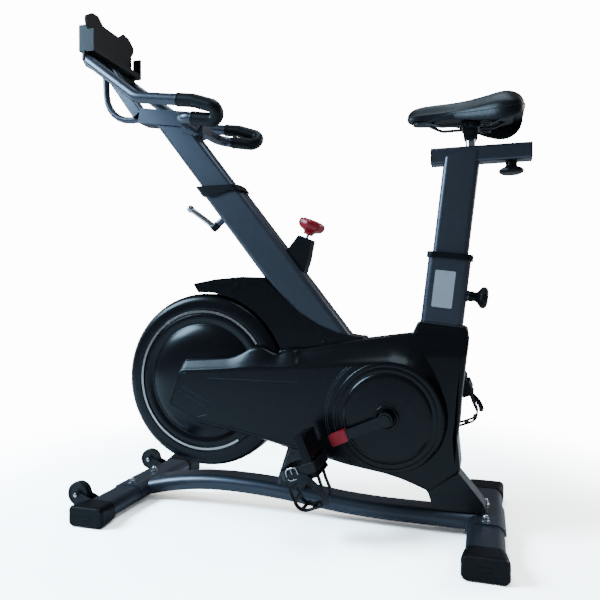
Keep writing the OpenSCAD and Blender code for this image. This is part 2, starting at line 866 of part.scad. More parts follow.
module seat_rail_tube() {
    wall = 3;
    color(gunmetal) difference() {
        translate([rail_front_x, 0, seat_rail_z + rail_h / 2]) rotate([90, 0, 90]) linear_extrude(seat_rail_length)
            tube_section(rail_y_w, rail_h, 7, wall);
        translate([stub_x - 55, -12, seat_rail_z + 20]) cube([100, 24, 40]);
        translate([slide_knob_x, 0, seat_rail_z - 10]) cylinder(r = 5 + joint_gap, h = 20);
    }
}

module seat_rail_plugs() {
    color(black_plastic) for (s = [0, 1]) {
        x = s == 0 ? rail_front_x - 3 : rail_front_x + seat_rail_length;
        translate([x, 0, seat_rail_z + rail_h / 2]) rotate([90, 0, 90]) linear_extrude(3)
            rounded(rail_y_w + 1, rail_h + 1, 7.5);
        translate([s == 0 ? rail_front_x : x - 6, 0, seat_rail_z + rail_h / 2]) rotate([90, 0, 90])
            linear_extrude(6) rounded(rail_y_w - 6, rail_h - 6, 4);
    }
}

module saddle_slider() {
    bar_h = rail_h - 6 - 2 * body_gap;
    color(chrome) {
        translate([stub_x - 30, 0, seat_rail_z + rail_h / 2]) rotate([90, 0, 90]) linear_extrude(122)
            rounded(rail_y_w - 6 - 2 * body_gap, bar_h, 3.5);
        translate([stub_x, 0, seat_rail_z + rail_h - 8]) cylinder(r = 11, h = clamp_z - seat_rail_z - rail_h + 8);
        pin_across(stub_x, clamp_z, 11, -12, 12);
    }
}

// Clamp whose two cheeks turn on the slider's head and whose jaws hold the saddle rails
module saddle_clamp() {
    color(black_metal) difference() {
        union() {
            both_sides(12 + body_gap, 19) translate([stub_x, clamp_z]) {
                circle(16);
                translate([-16, 0]) square([32, 20]);
            }
            translate([stub_x - 20, -26, clamp_z + 12]) cube([40, 52, 14]);
            for (s = [-1, 1]) pin_across(stub_x, clamp_z, 7, s * 20.5 - 2, s * 20.5 + 2);
        }
        for (s = [-1, 1]) translate([stub_x - 50, s * 22, clamp_z + 19]) rotate([0, 90, 0]) cylinder(r = 3.5, h = 100);
    }
}

module rail_rods() {
    z = clamp_z + 19;
    for (s = [-1, 1]) bent_tube(
        [[322, s * 8, 957], [368, s * 22, z], [484, s * 22, z], [522, s * 30, 955]], [0, 18, 18, 0], 3.5, 0, 12
    );
}

module saddle_rails() {
    color(black_metal) rail_rods();
}

module saddle_base() {
    color(black_plastic) difference() {
        hull() {
            translate([318, 0, 949]) cylinder(r = 16, h = 10, $fn = 32);
            translate([400, 0, 948]) cylinder(r = 32, h = 11, $fn = 32);
            for (s = [-1, 1]) translate([492, s * 26, 948]) cylinder(r = 34, h = 11, $fn = 32);
        }
        rail_rods();
    }
}

module saddle_cushion() {
    color(rubber) difference() {
        hull() {
            translate([307, 0, 967]) sphere(19, $fn = 32);
            translate([360, 0, 974]) sphere(20, $fn = 32);
            translate([430, 0, 966]) sphere(29, $fn = 32);
            translate([490, 0, 947]) sphere(58, $fn = 32);
            for (s = [-1, 1]) translate([504, s * 56, 951]) sphere(42, $fn = 32);
        }
        translate([200, -62, 800]) cube([500, 124, 159]);
        translate([200, -200, 800]) cube([500, 400, 126]);
    }
}

module seat_slide_knob() {
    color(black_plastic) translate([slide_knob_x, 0, seat_rail_z]) {
        translate([0, 0, -1]) cylinder(r = 5, h = 3.4);
        rotate_extrude() polygon([[0, -1], [13, -1], [13, -9], [17, -14], [26, -18], [27, -24], [20, -29], [0, -30]]);
    }
}

module seat_height_knob() {
    face = seat_w / 2;
    color(black_plastic) on_seat_tube() translate([face, 0, height_knob_at]) rotate([0, 90, 0]) {
        translate([0, 0, -6]) cylinder(r = 9 - joint_gap, h = 12);
        rotate_extrude() polygon([[0, 4.4], [12, 4.4], [12, 14], [10, 20], [16, 26], [24, 32], [25, 40], [19, 46], [0, 48]]);
    }
}

// Handlebar -------------------------------------------------------------

module above_mast_top() {
    translate([-far, -far, mast_top_z]) cube([2 * far, 2 * far, far]);
}

// Plastic guide in the mast's mouth with a lipped rim round the outside
module mast_collar() {
    color(black_plastic) difference() {
        union() {
            on_mast() translate([0, 0, 600]) linear_extrude(160)
                rounded(mast_w - 2 * steel_wall, mast_y - 2 * steel_wall, 14 - steel_wall);
            difference() {
                intersection() {
                    on_mast() translate([0, 0, 640]) linear_extrude(130) rounded(98, 70, 18);
                    across(-100, 100) polygon([
                        [-300, 812], [-205, 804], [-160, 817], [-60, 814], [-60, 832], [-300, 832]
                    ]);
                }
                difference() {
                    mast_body(0);
                    above_mast_top();
                }
            }
        }
        on_mast() translate([0, 0, 500]) linear_extrude(400)
            rounded(post_in_w + 2 * joint_gap, post_in_y + 2 * joint_gap, 11 + joint_gap);
        on_mast() translate([-100, 0, lever_at]) rotate([0, 90, 0]) cylinder(r = 6, h = 100);
        translate([-far, -far, 832]) cube([2 * far, 2 * far, far]);
    }
}

// Filled form of the inner post up to the bracket's seat
module handlebar_post_form(wall) {
    difference() {
        on_mast() translate([0, 0, 556]) linear_extrude(460) difference() {
            rounded(post_in_w, post_in_y, 11);
            if (wall > 0) rounded(post_in_w - 2 * wall, post_in_y - 2 * wall, 11 - wall);
        }
        above_bracket_seat();
    }
}

module handlebar_post() {
    color(gunmetal) handlebar_post_form(steel_wall);
}

// Clamping screw with a bent handle on the mast's front face
module post_lock_lever() {
    face = mast_w / 2;
    color(chrome) on_mast() translate([0, 0, lever_at]) {
        translate([-face - 42, 0, 0]) rotate([0, 90, 0]) cylinder(r = 5, h = 49.4);
        translate([-face - 42, 0, 0]) rotate([0, 90, 0]) cylinder(r = 10.5, h = 21);
        straight_bar([-face - 36, 0, 0], [-face - 58, 0, 84], 4.5);
        translate([-face - 58, 0, 84]) sphere(6.5);
    }
}

// Half space above the sloping seat of the handlebar bracket
module above_bracket_seat() {
    translate([-431, 0, 1015]) rotate([0, bracket_tilt, 0]) translate([-200, -200, 0]) cube([700, 400, 400]);
}

module handlebar_bracket() {
    color(gunmetal) difference() {
        union() {
            bracket_box();
            across(-27, 27) polygon([[-300, 1030], [-282, 1016], [-238, 1006], [-238, 972], [-262, 966], [-300, 980]]);
        }
        pin_across(bar_cross_x, bar_cross_z, bar_r, -100, 100);
        handlebar_post_form(0);
    }
}

bar_side = [
    [-560, 97, 1187], [bar_bend_x, rail_y, bar_bend_z], [bar_dip_x, rail_y, bar_dip_z],
    [bar_tip_x, rail_y, bar_tip_z], [bar_tip_x - 6, lower_y, bar_tip_z - 26], [bar_cross_x, lower_y, bar_cross_z]
];
bar_path = concat(
    [for (p = bar_side) [p[0], -p[1], p[2]]],
    [for (i = [len(bar_side) - 1:-1:0]) bar_side[i]]
);
bar_bends = [0, 60, 40, 17, 17, 34, 34, 17, 17, 40, 60, 0];

module handlebar_tube() {
    color(gunmetal) difference() {
        bent_tube(bar_path, bar_bends, bar_r, bar_wall);
        translate([holder_x - far, -far, 0]) cube([far, 2 * far, far]);
    }
}

module hand_grips() {
    rail_dir = unit(bar_side[2] - bar_side[1]);
    lower_dir = unit(bar_side[5] - bar_side[4]);
    color(rubber) for (s = [0, 1]) mirror([0, s, 0]) bent_tube(
        [bar_side[1] + 112 * rail_dir, bar_side[2], bar_side[3], bar_side[4], bar_side[4] + 34 * lower_dir],
        [0, 40, 17, 17, 0], bar_r + grip_wall, grip_wall - grip_gap
    );
}

// A bent tube from below and a straight stem from in front hold the tablet plate
module console_supports() {
    color(gunmetal) difference() {
        union() {
            bent_tube([[-420, 0, 1032], [-544, 0, 1032], [-552, 0, 1195.3]], [0, 78, 0], 9, 2, 16);
            difference() {
                translate([-452, 0, 1032]) rotate([0, -36, 0]) translate([16, 0, 0]) linear_extrude(220)
                    tube_section(32, 40, 6, 2);
                translate([holder_x - far, -far, 0]) cube([far, 2 * far, far]);
                translate([-far, -far, shelf_z]) cube([2 * far, 2 * far, far]);
            }
        }
        bracket_box();
    }
}

module bracket_box() {
    translate([-431, 0, 1015]) rotate([0, bracket_tilt, 0]) translate([0, -27, 0]) cube([150, 54, 40]);
}

holder_edge = [
    [36, 1284], [58, 1302], [84, 1300], [110, 1282], [108, 1264], [98, 1252], [98, 1200],
    [holder_half_w - 2, 1184], [holder_half_w, 1164], [104, 1150]
];

// Upright plate with raised corners, a shelf with end cheeks and a shallow box behind
module tablet_holder() {
    color(black_plastic) difference() {
        union() {
            translate([holder_x, 0, 0]) rotate([90, 0, -90]) linear_extrude(holder_wall)
                polygon(concat(holder_edge, mirrored(holder_edge)));
            translate([holder_x - 34, -96, 1196]) cube([28.1, 192, 70]);
            translate([holder_x - 0.1, -112, shelf_z]) cube([24, 224, 5]);
            for (s = [-1, 1]) translate([holder_x - 0.1, s * 108.5 - 3.5, shelf_z]) cube([24, 7, 58]);
            translate([holder_x + 20, -112, shelf_z]) cube([4, 224, 14]);
        }
        translate([holder_x - 31, -93, 1199]) cube([22, 186, 64]);
    }
}

base_tube();
foot_tubes();
foot_end_caps();
foot_bolts();
wheel_forks();
transport_wheel_left();
transport_wheel_right();
rear_strut();
front_strut();
seat_tube();
mast_tube();
bottom_bracket_shell();
bearings();
flywheel_fork_plates();
flywheel();
flywheel_axle();
small_pulley();
large_pulley();
drive_belt();
flywheel_housing_left();
flywheel_housing_right();
silver_trim_strips();
shroud_left();
shroud_right();
cover_left();
cover_right();
cover_screws();
crank_axle();
crank_arms();
crank_sleeves();
pedal_spindles();
left_pedal();
left_toe_cage();
left_toe_strap();
right_pedal();
right_toe_cage();
right_toe_strap();
magnet_bracket();
brake_rod();
resistance_knob();
resistance_housing();
seat_tube_collar();
seat_post();
seat_rail_tube();
seat_rail_plugs();
saddle_slider();
saddle_clamp();
saddle_rails();
saddle_base();
saddle_cushion();
seat_slide_knob();
seat_height_knob();
mast_collar();
handlebar_post();
post_lock_lever();
handlebar_bracket();
handlebar_tube();
hand_grips();
console_supports();
tablet_holder();
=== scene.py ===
"""Looks of the exercise bike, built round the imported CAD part.

Metres; +X is the rear, +Y the rider's right and +Z up. Outlines are written in
millimetres and scaled by MM.
"""
import json
import math

import bmesh
import bpy
from mathutils import Matrix, Vector


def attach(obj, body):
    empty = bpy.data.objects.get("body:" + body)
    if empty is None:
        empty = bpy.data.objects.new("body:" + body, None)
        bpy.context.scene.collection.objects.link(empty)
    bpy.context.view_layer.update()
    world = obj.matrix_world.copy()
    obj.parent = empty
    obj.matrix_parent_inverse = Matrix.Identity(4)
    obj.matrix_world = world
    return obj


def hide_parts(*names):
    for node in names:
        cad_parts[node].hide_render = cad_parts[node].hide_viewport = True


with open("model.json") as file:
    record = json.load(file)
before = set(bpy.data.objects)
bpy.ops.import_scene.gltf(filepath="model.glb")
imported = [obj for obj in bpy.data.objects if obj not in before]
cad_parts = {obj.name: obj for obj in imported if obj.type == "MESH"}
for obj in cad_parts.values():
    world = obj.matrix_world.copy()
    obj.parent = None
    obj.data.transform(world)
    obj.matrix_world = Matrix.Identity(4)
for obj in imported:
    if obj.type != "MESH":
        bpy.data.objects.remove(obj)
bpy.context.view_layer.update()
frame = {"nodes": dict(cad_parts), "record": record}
MM = 0.001
CRANK = (0.253, 0.269)          # x and z of the crank axle
HUB = (-0.231, 0.329)           # x and z of the flywheel axle
CRANK_LENGTH = 0.17
PEDAL_OUT = 0.165               # from the bike's middle to the middle of a pedal
CRANK_ANGLE = 24                # degrees the right arm stands above level
PEDAL_LEAN = -112               # degrees each pedal is turned, toe cage down
SIDES = ((-1, "left"), (1, "right"))

# Materials ---------------------------------------------------------------


def link(tree, a, b):
    tree.links.new(a, b)


def noise(tree, coord, scale, detail=4.0, rough=0.55, stretch=None):
    n = tree.nodes.new("ShaderNodeTexNoise")
    n.inputs["Scale"].default_value = scale
    n.inputs["Detail"].default_value = detail
    n.inputs["Roughness"].default_value = rough
    if stretch:
        m = tree.nodes.new("ShaderNodeMapping")
        m.inputs["Scale"].default_value = stretch
        link(tree, coord, m.inputs["Vector"])
        coord = m.outputs["Vector"]
    link(tree, coord, n.inputs["Vector"])
    return n.outputs["Fac"]


def ramp(tree, fac, a, b, low, high):
    r = tree.nodes.new("ShaderNodeValToRGB")
    r.color_ramp.elements[0].position = a
    r.color_ramp.elements[1].position = b
    r.color_ramp.elements[0].color = (*low, 1)
    r.color_ramp.elements[1].color = (*high, 1)
    link(tree, fac, r.inputs["Fac"])
    return r.outputs["Color"]


def span(tree, fac, a, b, low, high):
    m = tree.nodes.new("ShaderNodeMapRange")
    for key, v in (("From Min", a), ("From Max", b), ("To Min", low), ("To Max", high)):
        m.inputs[key].default_value = v
    link(tree, fac, m.inputs["Value"])
    return m.outputs["Result"]


def blend_colour(tree, fac, a, colour):
    m = tree.nodes.new("ShaderNodeMix")
    m.data_type = "RGBA"
    link(tree, fac, m.inputs["Factor"])
    link(tree, a, m.inputs["A"])
    m.inputs["B"].default_value = (*colour, 1)
    return m.outputs["Result"]


WEAR = (0.57, 0.63)             # pointiness of an edge where wear starts, and where it is full


def surface(name, colour, metallic=0.0, rough=0.4, tint=0.12, patch=18.0, grain=900.0,
            depth=0.00003, rough_vary=0.07, wear=None, coat=0.0, coat_rough=0.12, specular=0.5,
            pattern=None, stretch=None, strength=0.6):
    """A node material with patchy colour, varying roughness and fine relief.

    patch and grain are noise scales, tint how far the colour varies, depth the relief in metres,
    and wear the paler colour of worn edges.
    """
    m = bpy.data.materials.new(name)
    m.use_nodes = True
    t = m.node_tree
    b = t.nodes["Principled BSDF"]
    coord = t.nodes.new("ShaderNodeTexCoord").outputs["Object"]
    big = noise(t, coord, patch, 5.0, stretch=stretch)
    low = tuple(c * (1 - tint) for c in colour)
    high = tuple(min(1, c * (1 + tint)) for c in colour)
    base = ramp(t, big, 0.35, 0.68, low, high)
    if wear:
        edge = t.nodes.new("ShaderNodeNewGeometry").outputs["Pointiness"]
        scuff = noise(t, coord, 140.0, 6.0)
        worn = t.nodes.new("ShaderNodeMath")
        worn.operation = "MULTIPLY"
        link(t, span(t, edge, *WEAR, 0, 1), worn.inputs[0])
        link(t, span(t, scuff, 0.42, 0.62, 0, 1), worn.inputs[1])
        base = blend_colour(t, worn.outputs[0], base, wear)
    link(t, base, b.inputs["Base Color"])
    fine = noise(t, coord, patch * 7, 6.0, stretch=stretch)
    link(t, span(t, fine, 0.3, 0.7, max(0.02, rough - rough_vary), min(1, rough + rough_vary)),
         b.inputs["Roughness"])
    if pattern == "leather":
        v = t.nodes.new("ShaderNodeTexVoronoi")
        v.feature = "DISTANCE_TO_EDGE"
        v.inputs["Scale"].default_value = grain
        link(t, coord, v.inputs["Vector"])
        height = span(t, v.outputs["Distance"], 0.0, 0.22, 0, 1)
    elif pattern == "ribs":
        w = t.nodes.new("ShaderNodeTexWave")
        w.bands_direction = "DIAGONAL"
        w.inputs["Scale"].default_value = grain
        w.inputs["Distortion"].default_value = 0.4
        link(t, coord, w.inputs["Vector"])
        height = w.outputs["Fac"]
    else:
        height = noise(t, coord, grain, 3.0, 0.6, stretch=stretch)
    bump = t.nodes.new("ShaderNodeBump")
    bump.inputs["Strength"].default_value = strength
    bump.inputs["Distance"].default_value = depth
    link(t, height, bump.inputs["Height"])
    link(t, bump.outputs["Normal"], b.inputs["Normal"])
    b.inputs["Metallic"].default_value = metallic
    b.inputs["Specular IOR Level"].default_value = specular
    b.inputs["Coat Weight"].default_value = coat
    b.inputs["Coat Roughness"].default_value = coat_rough
    return m


# The numbers are metallic, rough, tint, patch, grain, depth and rough_vary, in that order
MAT = {
    "paint": surface("slate_paint", (0.09, 0.097, 0.12), 0.75, 0.36, 0.04, 7, 2600, 0.000003, 0.012,
                     wear=(0.25, 0.28, 0.33), coat=0.2, coat_rough=0.25, strength=0.15),
    "black_steel": surface("black_steel", (0.008, 0.009, 0.011), 0.3, 0.34, 0.15, 14,
                           1500, 0.00003, 0.05, wear=(0.09, 0.09, 0.1), coat=0.1),
    "shell": surface("shell_plastic", (0.003, 0.0036, 0.005), 0.0, 0.25, 0.08, 6,
                     2200, 0.000006, 0.015, wear=(0.016, 0.018, 0.022), strength=0.12,
                     specular=0.36),
    # Lighter than the shell: a painted highlight along the belt cover's ribs and arcs
    "rib_painted_highlight": surface("rib_painted_highlight", (0.016, 0.022, 0.03), 0.0, 0.3, 0.08, 6,
                          2200, 0.000004, 0.015, strength=0.12),
    "dark": surface("moulded_plastic", (0.0055, 0.0058, 0.007), 0.0, 0.38, 0.15, 20,
                    1500, 0.00001, 0.03, wear=(0.02, 0.021, 0.024), specular=0.26),
    "chrome": surface("chrome", (0.72, 0.73, 0.75), 1.0, 0.1, 0.05, 30, 500, 0.000006, 0.04,
                      strength=0.2),
    "silver": surface("silver_trim", (0.56, 0.535, 0.51), 1.0, 0.24, 0.06, 40, 900, 0.00001, 0.05,
                      strength=0.2),
    "steel": surface("turned_steel", (0.42, 0.43, 0.45), 1.0, 0.34, 0.12, 30, 700, 0.00004, 0.1,
                     stretch=(1, 14, 1)),
    "iron": surface("flywheel_iron", (0.24, 0.245, 0.25), 1.0, 0.42, 0.18, 25, 500, 0.0001, 0.1),
    "belt": surface("belt_rubber", (0.012, 0.012, 0.012), 0.0, 0.6, 0.2, 30, 300, 0.0004, 0.08,
                    pattern="ribs"),
    "tyre": surface("wheel_rubber", (0.01, 0.01, 0.011), 0.0, 0.46, 0.25, 40, 900, 0.00008, 0.08,
                    wear=(0.05, 0.048, 0.046)),
    "grip": surface("grip_foam", (0.004, 0.0044, 0.0055), 0.0, 0.42, 0.2, 40, 2200, 0.00004, 0.04,
                    strength=0.4, specular=0.3),
    "red": surface("red_plastic", (0.42, 0.006, 0.018), 0.0, 0.33, 0.08, 25, 300, 0.000004, 0.02,
                   coat=0.2, coat_rough=0.25, strength=0.1),
    "saddle": surface("saddle_vinyl", (0.005, 0.0056, 0.0072), 0.0, 0.4, 0.15, 16,
                      620, 0.0001, 0.04, wear=(0.02, 0.02, 0.022), pattern="leather",
                      strength=0.35, specular=0.36),
    "thread": surface("seam_thread", (0.012, 0.012, 0.014), 0.0, 0.7, 0.3, 60, 900, 0.0002, 0.08,
                      pattern="ribs"),
    "strap": surface("strap_rubber", (0.009, 0.009, 0.01), 0.0, 0.42, 0.2, 50, 420, 0.0002, 0.07,
                     pattern="ribs", wear=(0.04, 0.04, 0.04)),
    "label": surface("plain_sticker", (0.5, 0.51, 0.53), 0.0, 0.4, 0.03, 30, 900, 0.00001, 0.05,
                     coat=0.2),
    "spring": surface("dark_spring_steel", (0.09, 0.09, 0.095), 0.9, 0.32, 0.15, 30,
                      700, 0.00004, 0.08),
}

# Mesh helpers --------------------------------------------------------------


def piece(name, bm, material, body, stands_for=(), sharp=38, flat_faces=True):
    """Turns a bmesh into a named piece on a CAD body.

    It is smooth except where faces meet at more than the sharp angle, in degrees.
    """
    bmesh.ops.remove_doubles(bm, verts=bm.verts, dist=1e-6)
    bmesh.ops.recalc_face_normals(bm, faces=bm.faces)
    limit = math.radians(sharp)
    for f in bm.faces:
        f.smooth = True
    for e in bm.edges:
        e.smooth = len(e.link_faces) != 2 or e.calc_face_angle(0) < limit
    mesh = bpy.data.meshes.new(name)
    bm.to_mesh(mesh)
    bm.free()
    o = bpy.data.objects.new(name, mesh)
    bpy.context.scene.collection.objects.link(o)
    mesh.materials.append(MAT[material])
    if flat_faces:
        even = o.modifiers.new("even_shading", "WEIGHTED_NORMAL")
        even.keep_sharp = True
    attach(o, body)
    if stands_for:
        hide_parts(*stands_for)
    return o


def bevel(bm, width, limit=32):
    """Rounds the edges where faces meet at more than limit degrees."""
    edges = [e for e in bm.edges if len(e.link_faces) == 2
             and e.calc_face_angle(0) > math.radians(limit)]
    bmesh.ops.bevel(bm, geom=edges, offset=width, segments=2, profile=0.5, affect="EDGES",
                    clamp_overlap=True)


def refined(node, material, width):
    """A copy of a CAD node with its edges rounded, standing for that node."""
    bm = bmesh.new()
    bm.from_mesh(frame["nodes"][node].data)
    bmesh.ops.remove_doubles(bm, verts=bm.verts, dist=2e-6)
    bmesh.ops.dissolve_limit(bm, angle_limit=math.radians(0.4), verts=bm.verts, edges=bm.edges)
    if width:
        bevel(bm, width)
    return piece(node + "_finish", bm, material, BODY[node], (node,))


def ring_faces(bm, rings):
    """Joins closed rings of vertices, one after another, with quads."""
    n = len(rings[0])
    for a, b in zip(rings, rings[1:]):
        for k in range(n):
            j = (k + 1) % n
            quad = [a[k], a[j], b[j], b[k]]
            if len(set(quad)) == 4:
                bm.faces.new(quad)


def cap(bm, ring):
    f = bm.faces.new(ring)
    bmesh.ops.triangulate(bm, faces=[f], quad_method="BEAUTY", ngon_method="BEAUTY")


def loft(rings, cap_first=False):
    """A skin through rings of points, closed at the last ring."""
    bm = bmesh.new()
    made = [[bm.verts.new(p) for p in ring] for ring in rings]
    ring_faces(bm, made)
    if cap_first:
        cap(bm, made[0])
    cap(bm, made[-1])
    return bm


def band_faces(bm, rings, keep=None):
    """Joins rings of vertices, where a ring may be one vertex repeated, and keeps chosen faces."""
    segments = len(rings[0])
    for a, b in zip(rings, rings[1:]):
        for k in range(segments):
            j = (k + 1) % segments
            quad = list(dict.fromkeys([a[k], a[j], b[j], b[k]]))
            if len(quad) < 3:
                continue
            if keep and not keep(sum((v.co for v in quad), Vector()) / len(quad)):
                continue
            bm.faces.new(quad)


def lathe(cx, cz, profile, side, segments, keep=None):
    """Turns (radius, distance from the middle) about an axle across the bike."""
    bm = bmesh.new()
    rings = []
    for r, y in profile:
        if r < 1e-6:
            rings.append([bm.verts.new((cx, side * y, cz))] * segments)
            continue
        ring = []
        for k in range(segments):
            a = 2 * math.pi * k / segments
            ring.append(bm.verts.new((cx + r * math.cos(a), side * y, cz + r * math.sin(a))))
        rings.append(ring)
    band_faces(bm, rings, keep)
    return bm


def turned(matrix, profile, segments=64, lobes=0, lobe_depth=0.0):
    """Turns (radius, height) about local Z, with finger lobes if asked, placed by a matrix."""
    bm = bmesh.new()
    rings = []
    top = max(r for r, _ in profile)
    for r, z in profile:
        if r < 1e-6:
            rings.append([bm.verts.new(matrix @ Vector((0, 0, z)))] * segments)
            continue
        ring = []
        for k in range(segments):
            a = 2 * math.pi * k / segments
            w = r
            if lobes:
                w *= 1 - lobe_depth * (r / top) ** 3 * (0.5 - 0.5 * math.cos(lobes * a))
            ring.append(bm.verts.new(matrix @ Vector((w * math.cos(a), w * math.sin(a), z))))
        rings.append(ring)
    band_faces(bm, rings)
    return bm


def smooth_profile(points, steps=6):
    """Catmull-Rom through 2D points, so a turned or lofted form has no flats."""
    out = []
    p = [points[0]] + list(points) + [points[-1]]
    for i in range(1, len(p) - 2):
        a, b, c, d = (Vector(q) for q in p[i - 1:i + 3])
        for s in range(steps):
            t = s / steps
            out.append(tuple(0.5 * (2 * b + (c - a) * t + (2 * a - 5 * b + 4 * c - d) * t * t
                                    + (3 * b - a - 3 * c + d) * t ** 3)))
    out.append(tuple(points[-1]))
    return out


def rounded_path(corners, radii, step=9):
    """Points along straight runs joined by round bends."""
    c = [Vector(p) for p in corners]
    out = [c[0]]
    for i in range(1, len(c) - 1):
        d1, d2 = (c[i] - c[i - 1]).normalized(), (c[i + 1] - c[i]).normalized()
        turn = d1.angle(d2)
        if turn < 1e-4 or radii[i] <= 0:
            out.append(c[i])
            continue
        inward = (d2 - d1 * d2.dot(d1)).normalized()
        centre = c[i] - d1 * radii[i] * math.tan(turn / 2) + inward * radii[i]
        n = max(2, math.ceil(math.degrees(turn) / step))
        for k in range(n + 1):
            a = turn * k / n
            out.append(centre + radii[i] * (d1 * math.sin(a) - inward * math.cos(a)))
    out.append(c[-1])
    return out


def sweep(path, section, first_side, closed_path=False, scale=None):
    """Sweeps a closed section (side, up) along a path with no twist."""
    path = [Vector(p) for p in path]
    n = len(path)
    bm = bmesh.new()
    side = Vector(first_side)
    rings = []
    for i in range(n):
        if closed_path:
            d = (path[(i + 1) % n] - path[i - 1]).normalized()
        elif i == 0:
            d = (path[1] - path[0]).normalized()
        elif i == n - 1:
            d = (path[-1] - path[-2]).normalized()
        else:
            d = ((path[i + 1] - path[i]).normalized()
                 + (path[i] - path[i - 1]).normalized()).normalized()
        side = (side - d * side.dot(d)).normalized()
        up = d.cross(side)
        s = scale[i] if scale else 1.0
        rings.append([bm.verts.new(path[i] + side * a * s + up * b * s) for a, b in section])
    ring_faces(bm, rings + ([rings[0]] if closed_path else []))
    if not closed_path:
        cap(bm, rings[0])
        cap(bm, rings[-1])
    return bm


def in_metres(profile):
    return [(a * MM, b * MM) for a, b in profile]


def disc(r, n=32):
    return [(r * math.cos(2 * math.pi * k / n), r * math.sin(2 * math.pi * k / n))
            for k in range(n)]


def flat_section(w, h, r=None, n=4):
    """Rounded rectangle, w along the side direction and h along up."""
    r = min(w, h) / 2 * 0.98 if r is None else r
    out = []
    for cx, cy, a0 in ((w / 2 - r, h / 2 - r, 0), (-w / 2 + r, h / 2 - r, 90),
                       (-w / 2 + r, -h / 2 + r, 180), (w / 2 - r, -h / 2 + r, 270)):
        for k in range(n + 1):
            a = math.radians(a0 + 90 * k / n)
            out.append((cx + r * math.cos(a), cy + r * math.sin(a)))
    return out


def chaikin(points, rounds=2, keep=0.25):
    """Rounds the corners of a closed list of tuples of any length."""
    for _ in range(rounds):
        nxt = []
        for i, p in enumerate(points):
            q = points[(i + 1) % len(points)]
            nxt.append(tuple(a + (b - a) * keep for a, b in zip(p, q)))
            nxt.append(tuple(a + (b - a) * (1 - keep) for a, b in zip(p, q)))
        points = nxt
    return points


def inset(points, d):
    """Moves each point of an anticlockwise outline inward."""
    out = []
    n = len(points)
    for i in range(n):
        a, b, c = Vector(points[i - 1]), Vector(points[i]), Vector(points[(i + 1) % n])
        u, v = (b - a).normalized(), (c - b).normalized()
        normal = Vector((-u.y, u.x)) + Vector((-v.y, v.x))
        normal.normalize()
        k = max(0.5, normal.dot(Vector((-u.y, u.x))))
        out.append(tuple(b + normal * d / k))
    return out


def slab(outline, layers, side):
    """Lofts an XZ outline in mm through (inset, distance from the middle) layers on one side."""
    rings = [[(x * MM, side * y * MM, z * MM) for x, z in inset(outline, d)] for d, y in layers]
    return loft(rings)


def quarter(r, y_face, n=4):
    """Layers of a rounded edge of radius r that ends on a face at y_face."""
    angles = [math.pi / 2 * k / n for k in range(n + 1)]
    return [(r * (1 - math.cos(a)), y_face - r * (1 - math.sin(a))) for a in angles]


BODY = {n: b for b, nodes in frame["record"]["behaviour"]["bodies"].items() for n in nodes}

# CAD nodes kept in shape, with rounded edges and a real finish -------------------

# Node, material and edge radius in metres
KEPT = (
    ("foot_tubes", "paint", 0.0008), ("foot_bolts", "chrome", 0.0005),
    ("wheel_forks", "black_steel", 0.0006), ("rear_strut", "black_steel", 0.002),
    ("front_strut", "black_steel", 0.0), ("seat_tube", "paint", 0.001),
    ("mast_tube", "paint", 0.001), ("seat_post", "paint", 0.001),
    ("handlebar_post", "paint", 0.001), ("seat_rail_tube", "paint", 0.0008),
    ("seat_rail_plugs", "dark", 0.0024), ("saddle_slider", "chrome", 0.0008),
    ("saddle_clamp", "black_steel", 0.001), ("handlebar_bracket", "paint", 0.0025),
    ("mast_collar", "dark", 0.0012), ("seat_tube_collar", "dark", 0.0012),
    ("resistance_housing", "dark", 0.0025), ("brake_rod", "chrome", 0.0),
    ("crank_axle", "black_steel", 0.0015), ("crank_arms", "black_steel", 0.0022),
    ("crank_sleeves", "red", 0.0028), ("pedal_spindles", "chrome", 0.0008),
    ("shroud_left", "shell", 0.0018), ("shroud_right", "shell", 0.0018),
    ("cover_screws", "black_steel", 0.0005), ("tablet_holder", "dark", 0.0018),
    ("base_tube", "paint", 0.0), ("console_supports", "paint", 0.0),
    ("silver_trim_strips", "silver", 0.0004), ("foot_end_caps", "dark", 0.0018),
    ("saddle_rails", "spring", 0.0), ("saddle_base", "dark", 0.0015),
)
for node, material, width in KEPT:
    refined(node, material, width)

# Nodes inside the covers, which keep their CAD mesh
INNER = (
    ("bottom_bracket_shell", "steel"), ("bearings", "steel"),
    ("flywheel_fork_plates", "black_steel"), ("flywheel", "iron"), ("flywheel_axle", "steel"),
    ("small_pulley", "steel"), ("large_pulley", "dark"), ("drive_belt", "belt"),
    ("magnet_bracket", "steel"),
)
for node, material in INNER:
    o = frame["nodes"][node]
    o.data.materials.clear()
    o.data.materials.append(MAT[material])

# Flywheel housing: a turned drum, open where the frame cover crosses it ---------------

WINDOW = [(-262, 240), (-110, 226), (60, 200), (60, 404), (-60, 396), (-150, 372), (-262, 370)]


def inside(p, poly):
    """Whether a 2D point lies in a polygon, by counting crossings."""
    hit = False
    for (x0, z0), (x1, z1) in zip(poly, poly[1:] + poly[:1]):
        if (z0 > p[1]) != (z1 > p[1]) and p[0] < (x1 - x0) * (p[1] - z0) / (z1 - z0) + x0:
            hit = not hit
    return hit


housing = [(223.2, 0), (223.6, 6), (224, 14), (223, 22), (219.5, 30), (214, 35.6), (207, 38.9),
           (200, 40), (193, 40.1), (186, 39.9), (183.5, 39.2), (182.2, 38.0), (172, 38.0),
           (170.8, 39.4), (167, 40.0), (160, 39.8), (154, 38.6), (149, 37.2), (145, 37.4),
           (140, 40.5), (130, 45.6), (117, 49.8), (100, 53.0), (80, 55.0), (55, 56.2), (28, 56.8),
           (0, 57)]


def clear_of_window(c):
    return not inside((c.x / MM, c.z / MM), WINDOW)


for side, name in SIDES:
    bm = lathe(*HUB, in_metres(smooth_profile(housing, 4)), side, 192, clear_of_window)
    piece(f"housing_{name}", bm, "shell", "frame", (f"flywheel_housing_{name}",), sharp=70)

# Side covers -----------------------------------------------------------------

